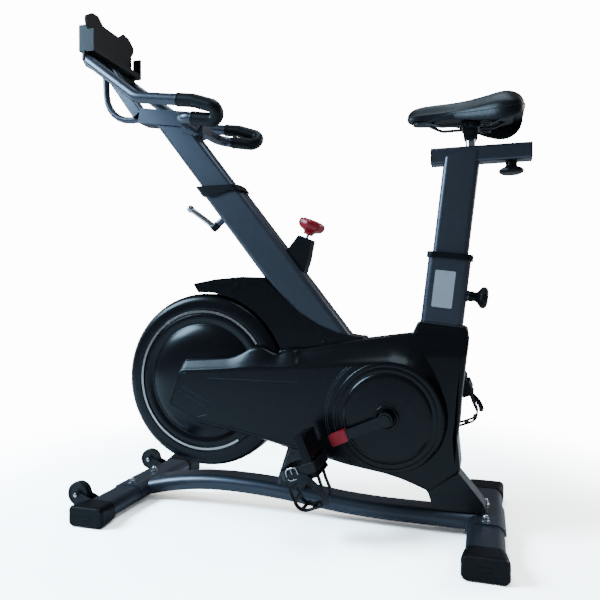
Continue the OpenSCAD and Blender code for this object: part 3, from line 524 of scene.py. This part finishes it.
frame_cover = [(-20, 178), (107, 154), (153, 144), (243, 131), (281, 122), (315, 110), (344, 99),
               (414, 149), (411, 183), (407, 225), (411, 250), (416, 316), (424, 390), (431, 445),
               (427, 477), (318, 490), (304, 459), (196, 443), (42, 420), (4, 419), (-22, 413)]


def arc(cx, cz, r, a0, a1, n):
    return [(cx + r * math.cos(math.radians(a0 + (a1 - a0) * k / n)),
             cz + r * math.sin(math.radians(a0 + (a1 - a0) * k / n))) for k in range(n + 1)]


def subdivided(points, longest):
    """Adds points along long sides of a closed outline of tuples."""
    out = []
    for i, p in enumerate(points):
        q = points[(i + 1) % len(points)]
        n = max(1, math.ceil(math.hypot(q[0] - p[0], q[1] - p[1]) / longest))
        out += [tuple(a + (b - a) * k / n for a, b in zip(p, q)) for k in range(n)]
    return out


def round_crank(r, degrees):
    """A point in mm at a radius and an angle round the crank axle."""
    a = math.radians(degrees)
    return CRANK[0] / MM + r * math.cos(a), CRANK[1] / MM + r * math.sin(a)


EDGE_R, FACE_R = 134.5, 126.5   # belt cover's edge and flat face, round the crank
BACK_END = 392                  # degrees round the crank where the edge leaves that circle

# Matching points of the belt cover, in mm: the outer edge's x, z and distance from the middle,
# then the flat face's x, z
pairs = [(-318, 266, 58, -309, 270), (-296, 253, 58.5, -289, 260), (-224, 220, 60, -222, 229),
         (-161, 211, 60, -160, 220), (-101, 201, 60, -100, 210), (-40, 188, 58, -39, 198),
         (40, 170, 56, 41, 181), (107, 155, 54, 112, 167)]
for a in range(232, BACK_END, 8):
    (ox, oz), (fx, fz) = round_crank(EDGE_R, a), round_crank(FACE_R, a)
    if ox > 125 or a > 245:
        pairs.append((ox, oz, 53, fx, fz))
for a, r in ((392, 138), (400, 143), (408, 150), (416, 160), (424, 171), (430, 184), (435, 197.7)):
    fa = BACK_END + (a - BACK_END) * 0.9
    pairs.append((*round_crank(r, a), 52.4, *round_crank(FACE_R, fa)))
pairs += [(252, 453, 52.4, 262, 395.0), (188, 444, 52.4, 205, 391.5), (116, 432, 52.4, 125, 385.5),
          (42, 418, 53, 50, 379.5), (4, 415.5, 56, 6, 376.5), (-18, 405, 59, -18, 374.8),
          (-33, 409, 61, -34, 373.6), (-50, 417, 62, -50, 372.6), (-68, 421, 62.5, -68, 371.4),
          (-86, 419, 62, -86, 370.3), (-102, 411, 62, -103, 369.0), (-120, 401, 62, -121, 367.8),
          (-142, 394, 62, -143, 366.2), (-190, 390, 61, -190, 362.8), (-273, 384, 60, -277, 357.0)]
LONGEST_SIDE = 26
flat = []
for i, p in enumerate(pairs):
    q = pairs[(i + 1) % len(pairs)]
    n = max(1, math.ceil(math.hypot(q[0] - p[0], q[1] - p[1]) / LONGEST_SIDE))
    flat += [tuple(a + (b - a) * k / n for a, b in zip(p, q)) for k in range(n)]
flat = chaikin(flat, 2)
outer = [(p[0], p[1]) for p in flat]
face = [(p[3], p[4]) for p in flat]


COVER_Y = 52                    # mm from the middle to the frame cover's face
CASE_Y = 80.0                   # and to the belt cover's face
BOOT_FROM, BOOT_TALL, BOOT_IN = 412, 52, 13.5   # height, length and depth of the taper to the boot


def cover_y(z):
    """How far out the frame cover stands at a height, narrowing to the boot round the seat tube."""
    t = min(1, max(0, (z - BOOT_FROM) / BOOT_TALL))
    return COVER_Y - t * t * (3 - 2 * t) * BOOT_IN


out_y = []                      # the belt cover's edge follows the frame cover where it lies on it
for p in flat:
    w = min(1, max(0, (54.6 - p[2]) / 1.5))
    out_y.append(p[2] + (cover_y(p[1]) + 0.3 - p[2]) * w)


def case_ring(points, ys, side):
    """Points in mm at their distances from the middle, as a ring in metres."""
    return [(x * MM, side * y * MM, z * MM) for (x, z), y in zip(points, ys)]


def between(t):
    """The belt cover's outline on the way from its edge, 0, to its flat face, 1."""
    return [(a[0] + (b[0] - a[0]) * t, a[1] + (b[1] - a[1]) * t) for a, b in zip(outer, face)]


for side, name in SIDES:
    rounded_cover = chaikin(subdivided(frame_cover, 24), 2)
    layers = [(0, 0.15), (0, 20), (0, 44)] + quarter(7, COVER_Y, 5)[1:] + [(11, 52.2)]
    bm = slab(rounded_cover, layers, side)
    for z in (0.405, 0.42, 0.43, 0.44, 0.45, 0.46, 0.475):  # cuts that let the taper bend
        bmesh.ops.bisect_plane(bm, geom=bm.verts[:] + bm.edges[:] + bm.faces[:], plane_co=(0, 0, z),
                               plane_no=(0, 0, 1))
    for v in bm.verts:
        v.co.y *= cover_y(v.co.z / MM) / COVER_Y
    piece(f"frame_cover_{name}", bm, "shell", "frame", (f"cover_{name}",), sharp=50)

    rings = [case_ring(outer, [36.5] * len(outer), side),
             case_ring(outer, [y - 5 for y in out_y], side),
             case_ring(inset(outer, 0.5), [y - 1.6 for y in out_y], side),
             case_ring(between(0.06), [y + 0.3 for y in out_y], side)]
    for t in (0.12, 0.2, 0.3, 0.42, 0.55, 0.7, 0.86):
        rings.append(case_ring(between(t),
                               [y + (CASE_Y - y) * (0.02 + 0.96 * t) ** (1.5 if y < 53.2 else 1.0)
                                for y in out_y], side))
    rings.append(case_ring(between(0.95), [CASE_Y - 0.7] * len(outer), side))
    # The face's rounded edge, and a fine groove 5 mm in from it
    for d, below in ((0.6, 0.12), (2.2, 0), (4.4, 0), (4.9, 0.7), (5.9, 0.7), (6.4, 0)):
        rings.append(case_ring(inset(face, d), [CASE_Y - below] * len(outer), side))
    piece(f"belt_cover_{name}", loft(rings), "shell", "frame", (), sharp=50)

    disc_profile = [(127.0, 79.5), (125.6, 80.3), (124.8, 80.9), (123.6, 81.2), (119, 81.3),
                    (117.6, 81.1), (116.6, 80.4), (115.0, 80.35), (113.8, 80.9), (112.6, 81.2),
                    (108, 81.35), (105.4, 81.1), (103.8, 80.4), (102.4, 80.5), (100.8, 82.0),
                    (98.4, 83.4), (95, 84.0), (88, 84.1), (60, 84.6), (40, 84.9), (29.4, 85.0),
                    (28.4, 85.6), (27.6, 87.4), (25.8, 88.2), (23.4, 88.0), (22.4, 86.4),
                    (21.4, 84.4), (16.2, 84.2), (16.0, 78)]
    piece(f"crank_disc_{name}", lathe(*CRANK, in_metres(disc_profile), side, 192),
          "shell", "frame", (), sharp=42)

    # Raised styling ribs along the belt cover's face, coloured lighter than the shell as a painted
    # highlight: both ends, and relative width
    ribs = [((-199, 341), (38, 341), 1.1), ((-278, 351.5), (-258, 352), 1.6),
            ((-281, 306), (-196, 264), 0.9), ((-270, 318), (-182, 274), 0.9),
            ((-225, 242), (-199, 249), 1.2)]
    for k, (a, b, w) in enumerate(ribs):
        path = [(a[0] * MM, side * (CASE_Y + 0.1) * MM, a[1] * MM),
                (b[0] * MM, side * (CASE_Y + 0.1) * MM, b[1] * MM)]
        piece(f"cover_rib_{name}_{k}", sweep(path, flat_section(1.1 * MM, w * 1.6 * MM), (0, 1, 0)),
              "rib_painted_highlight", "frame", ())
    # Two arcs round the crank disc, in the same lighter colour as a painted highlight
    for k, (r, a0, a1) in enumerate(((140.5, 126, 202), (145.5, 130, 202))):
        pts = [(x * MM, side * (CASE_Y + 0.05) * MM, z * MM)
               for x, z in arc(253, 269, r, a0, a1, 30) if x > 60]
        piece(f"cover_arc_{name}_{k}", sweep(pts, flat_section(1.0 * MM, 2.4 * MM), (0, 1, 0)),
              "rib_painted_highlight", "frame", ())

# Handlebar -------------------------------------------------------------------

BAR_R, GRIP_R = 0.014, 0.0163    # of the bent tube, and of the grips on it
rail_y, lower_y = 0.140, 0.122   # half the width over the upper rails, and over the lower tube
bar_side = [(-0.560, 0.097, 1.187), (-0.360, rail_y, 1.040), (-0.204, rail_y, 1.017),
            (-0.144, rail_y, 0.996), (-0.150, lower_y, 0.970), (-0.257, lower_y, 0.988)]
start = Vector(bar_side[0]).lerp(Vector(bar_side[1]), 0.14)  # just under the tablet holder's box
half = [tuple(start)] + bar_side[1:]
corners = [(x, -y, z) for x, y, z in half] + half[::-1]
bends = [0, 0.060, 0.040, 0.017, 0.017, 0.034, 0.034, 0.017, 0.017, 0.040, 0.060, 0]
piece("bent_handlebar", sweep(rounded_path(corners, bends, 5), disc(BAR_R, 40), (0, 0, 1)), "paint",
      "handlebar", ("handlebar_tube",), sharp=50)
rail_dir = (Vector(bar_side[2]) - Vector(bar_side[1])).normalized()
lower_dir = (Vector(bar_side[5]) - Vector(bar_side[4])).normalized()
for side, name in SIDES:
    pts = [Vector(bar_side[1]) + rail_dir * 0.112, Vector(bar_side[2]), Vector(bar_side[3]),
           Vector(bar_side[4]), Vector(bar_side[4]) + lower_dir * 0.070]
    path = rounded_path(pts, [0, 0.040, 0.017, 0.017, 0], 5)
    dense = []                  # a point every 2.2 mm or less, for the ends' shape
    for a, b in zip(path, path[1:]):
        n = max(1, math.ceil((b - a).length / 0.0022))
        dense += [a.lerp(b, k / n) for k in range(n)]
    dense.append(path[-1])
    length = [0.0]
    for a, b in zip(dense, dense[1:]):
        length.append(length[-1] + (b - a).length)
    total = length[-1]
    radii = []                  # a rounded end, then a raised lip
    for s in length:
        end = min(s, total - s)
        radii.append(0.93 + 0.07 * min(1, end / 0.003) + (0.035 if 0.002 < end < 0.008 else 0))
    path = [(p.x, side * p.y, p.z) for p in dense]
    piece(f"grip_{name}", sweep(path, disc(GRIP_R, 40), (0, 0, 1), scale=radii), "grip",
          "handlebar", ("hand_grips",) if side < 0 else (), sharp=60)

# Pedals, cages and straps --------------------------------------------------------

for side, name in SIDES:
    arm = math.radians(CRANK_ANGLE + (180 if side < 0 else 0))
    at = Matrix.Translation((CRANK[0] + CRANK_LENGTH * math.cos(arm), side * PEDAL_OUT,
                             CRANK[1] + CRANK_LENGTH * math.sin(arm)))
    place = at @ Matrix.Rotation(math.radians(PEDAL_LEAN), 4, "Y")
    along = place.to_3x3() @ Vector((1, 0, 0))
    sole = place.to_3x3() @ Vector((0, 0, 1))
    across = place.to_3x3() @ Vector((0, 1, 0))
    body = f"{name}_pedal"

    def local(points):
        return [place @ Vector((x * MM, y * MM, z * MM)) for x, y, z in points]

    # Platform: a rounded frame with a barrel, cross bars and gripping teeth
    bm = bmesh.new()

    def brick(x0, x1, y0, y1, z0, z1, r):
        """Adds a block with rounded edges to the platform, in the pedal's own frame."""
        part = bmesh.new()
        bmesh.ops.create_cube(part, size=1)
        for v in part.verts:
            v.co = Vector(((x0 + x1) / 2 + v.co.x * (x1 - x0), (y0 + y1) / 2 + v.co.y * (y1 - y0),
                           (z0 + z1) / 2 + v.co.z * (z1 - z0))) * MM
        bmesh.ops.bevel(part, geom=part.edges[:], offset=r * MM, segments=2, profile=0.5,
                        affect="EDGES")
        part.transform(place)
        data = bpy.data.meshes.new("part")
        part.to_mesh(data)
        part.free()
        bm.from_mesh(data)
        bpy.data.meshes.remove(data)

    for s in (-1, 1):
        brick(s * 43.5 - 4.5, s * 43.5 + 4.5, -45, 45, -12, 12, 3)
        brick(-44, 44, s * 40.5 - 4.5, s * 40.5 + 4.5, -11, 11, 3)
        for k in range(-4, 5):
            brick(s * 43.5 - 3.4, s * 43.5 + 3.4, k * 9.2 - 1.6, k * 9.2 + 1.6, -14, 14, 1)
    brick(-44, 44, -4, 4, -9, 9, 2)
    for s in (-1, 1):
        brick(-44, 44, s * 22 - 2, s * 22 + 2, -8, 8, 1.2)
    piece(f"{name}_platform", bm, "dark", body, (f"{name}_pedal",))
    barrel = [(0, 44.5), (9, 44.5), (12.5, 43), (13.5, 40), (13.5, -40), (12.5, -43), (9, -44.5),
              (7.1, -44.6)]
    turn = Matrix.Rotation(math.radians(90 if side < 0 else -90), 4, "X")
    piece(f"{name}_barrel", turned(place @ turn, in_metres(barrel), 48), "dark", body, ())

    # Toe cage: two side hoops and a nose bridge, one moulding
    hoop = []
    for cx, cz, a0, a1 in ((-89, 44, 78, 180), (-89, 20, 180, 268)):
        hoop += arc(cx, cz, 24, a0, a1, 10)
    hoop = [(-58, 68), (-72, 69)] + hoop + [(-68, -3), (-52, -4), (-49, -4)]
    for s in (-1, 1):
        path = local([(x, s * 22, z) for x, z in hoop])
        bar_mesh = sweep(path, flat_section(13 * MM, 4.2 * MM, 1.6 * MM), (0, 1, 0))
        piece(f"{name}_cage_hoop_{'in' if s * side < 0 else 'out'}", bar_mesh, "dark", body,
              (f"{name}_toe_cage",) if s > 0 else (), sharp=50)
    for k, (x, z) in enumerate(((-113.2, 32), (-107, 57), (-107, 7), (-86, 67.6), (-62, 68.2))):
        path = local([(x, -27, z), (x + (1.6 if k == 0 else 0), 0, z), (x, 27, z)])
        size = (4.0 * MM, 12 * MM) if k < 3 else (10 * MM, 4 * MM)
        bar_mesh = sweep(path, flat_section(*size, 1.6 * MM), along)
        piece(f"{name}_cage_bridge_{k}", bar_mesh, "dark", body, (), sharp=50)

    # Strap: a band round the cage's mouth with a loose tail, through a wire buckle
    loop = chaikin([(-47.5, 0), (-47.5, 58), (-36, 71), (36, 71), (47.5, 58), (47.5, 0),
                    (47.5, -15.5), (-47.5, -15.5)], 3, 0.1)
    path = local([(-24, y, z) for y, z in loop])
    piece(f"{name}_strap_band", sweep(path, flat_section(22 * MM, 2.2 * MM, 1.0 * MM), along,
                                      closed_path=True), "strap", body, (f"{name}_toe_strap",),
          sharp=60)
    tail = smooth_profile([(-24, side * 50.2, 58), (-30, side * 51.6, 30), (-50, side * 54, 6),
                           (-74, side * 55, -8), (-96, side * 52, -12), (-108, side * 47, -8)], 5)
    piece(f"{name}_strap_tail", sweep(local(tail), flat_section(14 * MM, 2.0 * MM, 0.9 * MM), sole,
                                      scale=[1.0] * (len(tail) - 3) + [0.94, 0.8, 0.55]), "strap",
          body, (), sharp=60)
    by, bz = side * 50.4, 40    # middle of the buckle, outside the strap
    wire = chaikin([(-36.5, by, bz + 13), (-36.5, by, bz - 13), (-11.5, by, bz - 13),
                    (-11.5, by, bz + 13)], 3, 0.2)
    piece(f"{name}_buckle", sweep(local(wire), disc(1.7 * MM, 12), across,
                                  closed_path=True), "chrome", body, (), sharp=60)
    piece(f"{name}_buckle_bar", sweep(local([(-36.5, by, bz), (-11.5, by, bz)]), disc(1.3 * MM, 12),
                                      (0, 1, 0)), "chrome", body, ())

# Oval recess marks on the ends of the floor tubes
for x, tag in ((-0.432, "front"), (0.468, "rear")):
    for side, name in SIDES:
        loop = [(x + a, side * 0.2530, 0.026 + b) for a, b in flat_section(0.030, 0.010, 0.0048, 6)]
        piece(f"cap_slot_{tag}_{name}", sweep(loop, disc(0.0007, 8), (0, 1, 0), closed_path=True),
              "dark", "frame", ())

# Knobs and lever ------------------------------------------------------------------

KNOB_AT = (0.050, 0, 0.722)
tilt = Matrix.Rotation(math.radians(22), 4, "Y")
knob = smooth_profile([(4.3, -23.6), (10.6, -24), (12.4, -22.4), (13, -18), (17, -14.5),
                       (25, -11.5), (31.6, -7), (34.4, -1.5), (34.8, 5), (33, 10), (28, 12.8),
                       (20.5, 14.6), (10, 15.4), (0, 15.8)], 4)
piece("resistance_grip", turned(Matrix.Translation(KNOB_AT) @ tilt, in_metres(knob), 96, 8, 0.05),
      "red", "resistance_knob", ("resistance_knob",), sharp=60)

mushroom = smooth_profile([(0, -1), (9, -1), (12.4, -1.6), (12.8, -4), (12.4, -8.5), (14, -12),
                           (19, -14.8), (25, -17.4), (27, -21), (26, -25.4), (21, -28.6),
                           (12, -29.8), (0, -30)], 4)
SLIDE_KNOB_AT = (0.522, 0, 0.852)
piece("seat_slide_grip",
      turned(Matrix.Translation(SLIDE_KNOB_AT), in_metres(mushroom), 96, 10, 0.05), "dark",
      "seat_slide_knob", ("seat_slide_knob",), sharp=60)
# The seat tube's own frame, with Z up the tube, and the pull knob's, with Z out of its rear face
seat_frame = Matrix.Translation((0.335, 0, 0.190)) @ Matrix.Rotation(math.radians(6.7), 4, "Y")
pull_frame = (seat_frame @ Matrix.Translation((0.048, 0, 0.365))
              @ Matrix.Rotation(math.radians(90), 4, "Y"))
pull = smooth_profile([(0, 4.4), (10, 4.4), (12, 5.4), (12, 12), (10.6, 17), (12, 22), (17, 26.6),
                       (23, 31), (25, 35.6), (24.4, 41), (20, 45.6), (11, 47.6), (0, 48)], 4)
piece("seat_height_grip", turned(pull_frame, in_metres(pull), 96, 10, 0.05), "dark",
      "seat_height_knob", ("seat_height_knob",), sharp=60)
stem = [(0, -6), (7.6, -6), (8.8, -5), (8.9, 4.4), (0, 4.4)]
piece("seat_height_pin", turned(pull_frame, in_metres(stem), 48), "chrome", "seat_height_knob", ())

# The lever's frame: Z up the mast, X out of its rear face
mast_frame = (Matrix.Translation((CRANK[0], 0, CRANK[1]))
              @ Matrix.Rotation(math.radians(-38), 4, "Y")
              @ Matrix.Translation((-0.009, 0, 0.650)))
axis_x = mast_frame @ Matrix.Rotation(math.radians(90), 4, "Y")
hub = [(0, -86.5), (7.5, -86.5), (9.8, -85.2), (10.5, -82), (10.5, -68), (9.6, -65.6), (5.2, -65),
       (5.0, -36.6), (0, -36.4)]
piece("lever_hub", turned(axis_x, in_metres(hub), 48), "dark", "post_lock_lever",
      ("post_lock_lever",))
bar = [mast_frame @ Vector(p) for p in ((-0.079, 0, 0), (-0.0835, 0, 0.022), (-0.099, 0, 0.074),
                                        (-0.102, 0, 0.088))]
path = rounded_path(bar, [0, 0.02, 0.02, 0], 8)
piece("lever_handle", sweep(path, disc(0.0072, 24), (0, 1, 0)), "chrome", "post_lock_lever", ())
tip = [(0, -10), (5, -9), (8.8, -5.5), (10, 0), (8.8, 5.5), (5, 9), (0, 10)]
piece("lever_tip", turned(mast_frame @ Matrix.Translation((-0.102, 0, 0.084)),
                          in_metres(smooth_profile(tip, 4)), 32), "chrome", "post_lock_lever", ())

# Transport wheels ------------------------------------------------------------------

for side, name in SIDES:
    tread = [(4.05, -10.6), (7, -11), (11.6, -11), (12.4, -9.4), (22.6, -9.4), (23.4, -11),
             (27, -11), (29.2, -9.8), (30, -7), (30, 7), (29.2, 9.8), (27, 11), (23.4, 11),
             (22.6, 9.4), (12.4, 9.4), (11.6, 11), (7, 11), (4.05, 10.6), (4.05, -10.6)]
    axle = Matrix.Translation((-0.51, side * 0.167, 0.049))
    turn = axle @ Matrix.Rotation(math.radians(90), 4, "X")
    piece(f"roller_{name}", turned(turn, in_metres(tread), 64), "tyre", f"transport_wheel_{name}",
          (f"transport_wheel_{name}",))
    for s in (-1, 1):
        head = [(0, 21.6), (3.2, 21.4), (5.8, 20.2), (7, 18.2), (7.2, 15.8), (0, 15.8)]
        turn_s = axle @ Matrix.Rotation(math.radians(90 * s), 4, "X")
        piece(f"wheel_bolt_{name}_{'a' if s < 0 else 'b'}", turned(turn_s, in_metres(head), 32),
              "chrome", "frame", ())

# Saddle ------------------------------------------------------------------------

# Sections of the cushion in mm: x, half width, crown, skirt bottom, roundness
stations = [(288.5, 5, 970, 962, 0.8), (291, 11, 977.5, 959, 0.8), (297, 16.5, 984.5, 957, 0.8),
            (308, 20.5, 990, 955.5, 0.8), (325, 22.5, 993, 954.5, 0.8), (350, 25, 994.5, 953, 0.78),
            (375, 29.5, 995, 950.5, 0.7), (400, 38, 995.5, 947, 0.62), (425, 51, 997, 941, 0.54),
            (450, 67.5, 999.5, 934, 0.46), (475, 84, 1003, 928, 0.42), (495, 94, 1006, 925.5, 0.4),
            (513, 97.5, 1006, 926, 0.4), (528, 94.5, 1002, 931, 0.45), (539, 86, 995.5, 938, 0.55),
            (545.5, 73, 987, 946, 0.7), (548.5, 54, 977, 955, 0.8)]
SHELL_TOP = 959.6               # the cushion's hollow underside rests on the shell here
columns = []
for key in range(5):
    column = smooth_profile([(i, s[key]) for i, s in enumerate(stations)], 4)
    columns.append([c[1] for c in column])
sections = list(zip(*columns))
rings = []
for x, w, top, skirt, drop in sections:
    h = top - skirt
    inner = max(2.0, w - 5.0)
    roof = max(skirt + 2.0, SHELL_TOP) if skirt < 957 else skirt + 0.6
    outline = [(0, top), (0.22 * w, top - 0.05 * drop * h), (0.45 * w, top - 0.22 * drop * h),
               (0.64 * w, top - 0.46 * drop * h), (0.80 * w, top - (0.09 + 0.57 * drop) * h),
               (0.915 * w, top - (0.25 + 0.5 * drop) * h),
               (0.985 * w, top - (0.5 + 0.2 * drop) * h), (w, top - 0.78 * h),
               (0.992 * w, top - 0.90 * h), (0.965 * w, top - 0.985 * h), (0.93 * w, skirt),
               (min(0.9 * w, inner + 1.5), skirt + 1.0),
               (min(0.88 * w, inner), min(roof, skirt + 5)), (min(0.86 * w, inner - 0.5), roof)]
    right = smooth_profile(outline, 3)
    ring = [(x, y, z) for y, z in right] + [(x, -y, z) for y, z in right[::-1][:-1]]
    rings.append([(a * MM, b * MM, c * MM) for a, b, c in ring])
seat_piece = piece("saddle_cover", loft(rings, cap_first=True), "saddle", "saddle",
                   ("saddle_cushion",), sharp=65, flat_faces=False)

# Seam round the skirt, above the lower edge
for s, tag in SIDES:
    seam = []
    for x, w, top, skirt, _ in sections[3:-2]:
        seam.append((x * MM, s * (w * 0.998 + 0.25) * MM, (top - 0.72 * (top - skirt)) * MM))
    piece(f"saddle_seam_{tag}", sweep(seam, disc(0.0007, 8), (0, 0, 1)), "thread", "saddle", (),
          sharp=80)

# Springs under the saddle, round the clamp
TURNS = 4
for s, tag in SIDES:
    coil = [(0.466 + 0.011 * math.cos(a), s * 0.030 + 0.011 * math.sin(a),
             0.9445 - 0.0155 * a / (2 * math.pi * TURNS))
            for a in [2 * math.pi * k / 20 for k in range(20 * TURNS + 1)]]
    piece(f"saddle_spring_{tag}", sweep(coil, disc(0.0016, 10), (0, 0, 1)), "spring", "saddle", (),
          sharp=80)

# Blank sticker on the seat tube's left face
STICKER = ((-0.027, 0.332), (0.019, 0.332), (0.019, 0.417), (-0.027, 0.417))
corner = [seat_frame @ Vector((x, -0.0312, z)) for x, z in STICKER]
bm = bmesh.new()
outline = chaikin([tuple(c) for c in corner], 2, 0.03)
front = [bm.verts.new(p) for p in outline]
back = [bm.verts.new((p[0], p[1] + 0.0003, p[2])) for p in outline]
ring_faces(bm, [back, front])
cap(bm, front)
piece("blank_sticker", bm, "label", "frame", ())

# Stage, light and camera --------------------------------------------------------

SETTING = 14                    # brightness of the pale setting, as the camera sees it
NEAR_GAIN = (9, 8.2, 7.3)       # lifts the floor near the bike to the same tone, shadow kept
FADE = (0.7, 1.5)               # the floor turns into the setting between these distances
FILL = 0.14                     # soft light from all round
CAMERA_AT = (0.468, -1.425, 0.547)
CAMERA_TURN = (89.6, 0, 17.45)  # degrees

bm = bmesh.new()
bmesh.ops.create_grid(bm, x_segments=2, y_segments=2, size=14)
mesh = bpy.data.meshes.new("floor")
bm.to_mesh(mesh)
bm.free()
floor = bpy.data.objects.new("floor", mesh)
bpy.context.scene.collection.objects.link(floor)
floor_mat = bpy.data.materials.new("pale_floor")
floor_mat.use_nodes = True
t = floor_mat.node_tree
t.nodes.clear()
out = t.nodes.new("ShaderNodeOutputMaterial")
path_node = t.nodes.new("ShaderNodeLightPath")
coord = t.nodes.new("ShaderNodeTexCoord")
plain = t.nodes.new("ShaderNodeBsdfDiffuse")
plain.inputs["Color"].default_value = (0.8, 0.8, 0.8, 1)
near = t.nodes.new("ShaderNodeBsdfDiffuse")
near.inputs["Color"].default_value = (*NEAR_GAIN, 1)
away = t.nodes.new("ShaderNodeEmission")
away.inputs["Strength"].default_value = SETTING
length = t.nodes.new("ShaderNodeVectorMath")
length.operation = "LENGTH"
link(t, coord.outputs["Object"], length.inputs[0])
fade = t.nodes.new("ShaderNodeMapRange")
fade.interpolation_type = "SMOOTHSTEP"
for key, v in (("From Min", FADE[0]), ("From Max", FADE[1]), ("To Min", 0), ("To Max", 1)):
    fade.inputs[key].default_value = v
link(t, length.outputs["Value"], fade.inputs["Value"])
ground = t.nodes.new("ShaderNodeMixShader")
link(t, fade.outputs["Result"], ground.inputs["Fac"])
link(t, near.outputs[0], ground.inputs[1])
link(t, away.outputs[0], ground.inputs[2])
both = t.nodes.new("ShaderNodeMixShader")
link(t, path_node.outputs["Is Camera Ray"], both.inputs["Fac"])
link(t, plain.outputs[0], both.inputs[1])
link(t, ground.outputs[0], both.inputs[2])
link(t, both.outputs[0], out.inputs["Surface"])
mesh.materials.append(floor_mat)

world = bpy.data.worlds.new("studio")
bpy.context.scene.world = world
world.use_nodes = True
t = world.node_tree
t.nodes.clear()
out = t.nodes.new("ShaderNodeOutputWorld")
seen = t.nodes.new("ShaderNodeBackground")
seen.inputs["Color"].default_value = (1, 1, 1, 1)
seen.inputs["Strength"].default_value = SETTING
unseen = t.nodes.new("ShaderNodeBackground")
unseen.inputs["Color"].default_value = (0.8, 0.88, 1.0, 1)
unseen.inputs["Strength"].default_value = FILL
mix = t.nodes.new("ShaderNodeMixShader")
path_node = t.nodes.new("ShaderNodeLightPath")
link(t, path_node.outputs["Is Camera Ray"], mix.inputs["Fac"])
link(t, unseen.outputs[0], mix.inputs[1])
link(t, seen.outputs[0], mix.inputs[2])
link(t, mix.outputs[0], out.inputs["Surface"])


def lamp(name, at, target, size, power, colour):
    """A rectangular soft light that faces a target."""
    data = bpy.data.lights.new(name, "AREA")
    data.shape = "RECTANGLE"
    data.size, data.size_y = size
    data.energy = power
    data.color = colour
    o = bpy.data.objects.new(name, data)
    o.location = at
    o.rotation_euler = (Vector(target) - Vector(at)).to_track_quat("-Z", "Y").to_euler()
    bpy.context.scene.collection.objects.link(o)


lamp("key_left", (-2.4, -1.3, 2.2), (-0.1, 0, 0.5), (1.3, 1.3), 135, (0.5, 0.76, 1.0))
lamp("side_left", (-3.0, 0.4, 1.1), (0, 0, 0.6), (0.8, 2.0), 22, (0.6, 0.82, 1.0))
lamp("top", (0.2, 0.1, 3.0), (0, 0, 0.4), (2.2, 1.2), 26, (0.66, 0.85, 1.0))
lamp("back_right", (2.4, 1.8, 1.8), (0, 0, 0.6), (1.2, 1.8), 30, (0.95, 0.97, 1.0))

camera = bpy.data.cameras.new("camera")
camera.sensor_width = 36
camera.lens = 35.52
camera_object = bpy.data.objects.new("camera", camera)
camera_object.location = CAMERA_AT
camera_object.rotation_euler = tuple(math.radians(a) for a in CAMERA_TURN)
bpy.context.scene.collection.objects.link(camera_object)
bpy.context.scene.camera = camera_object
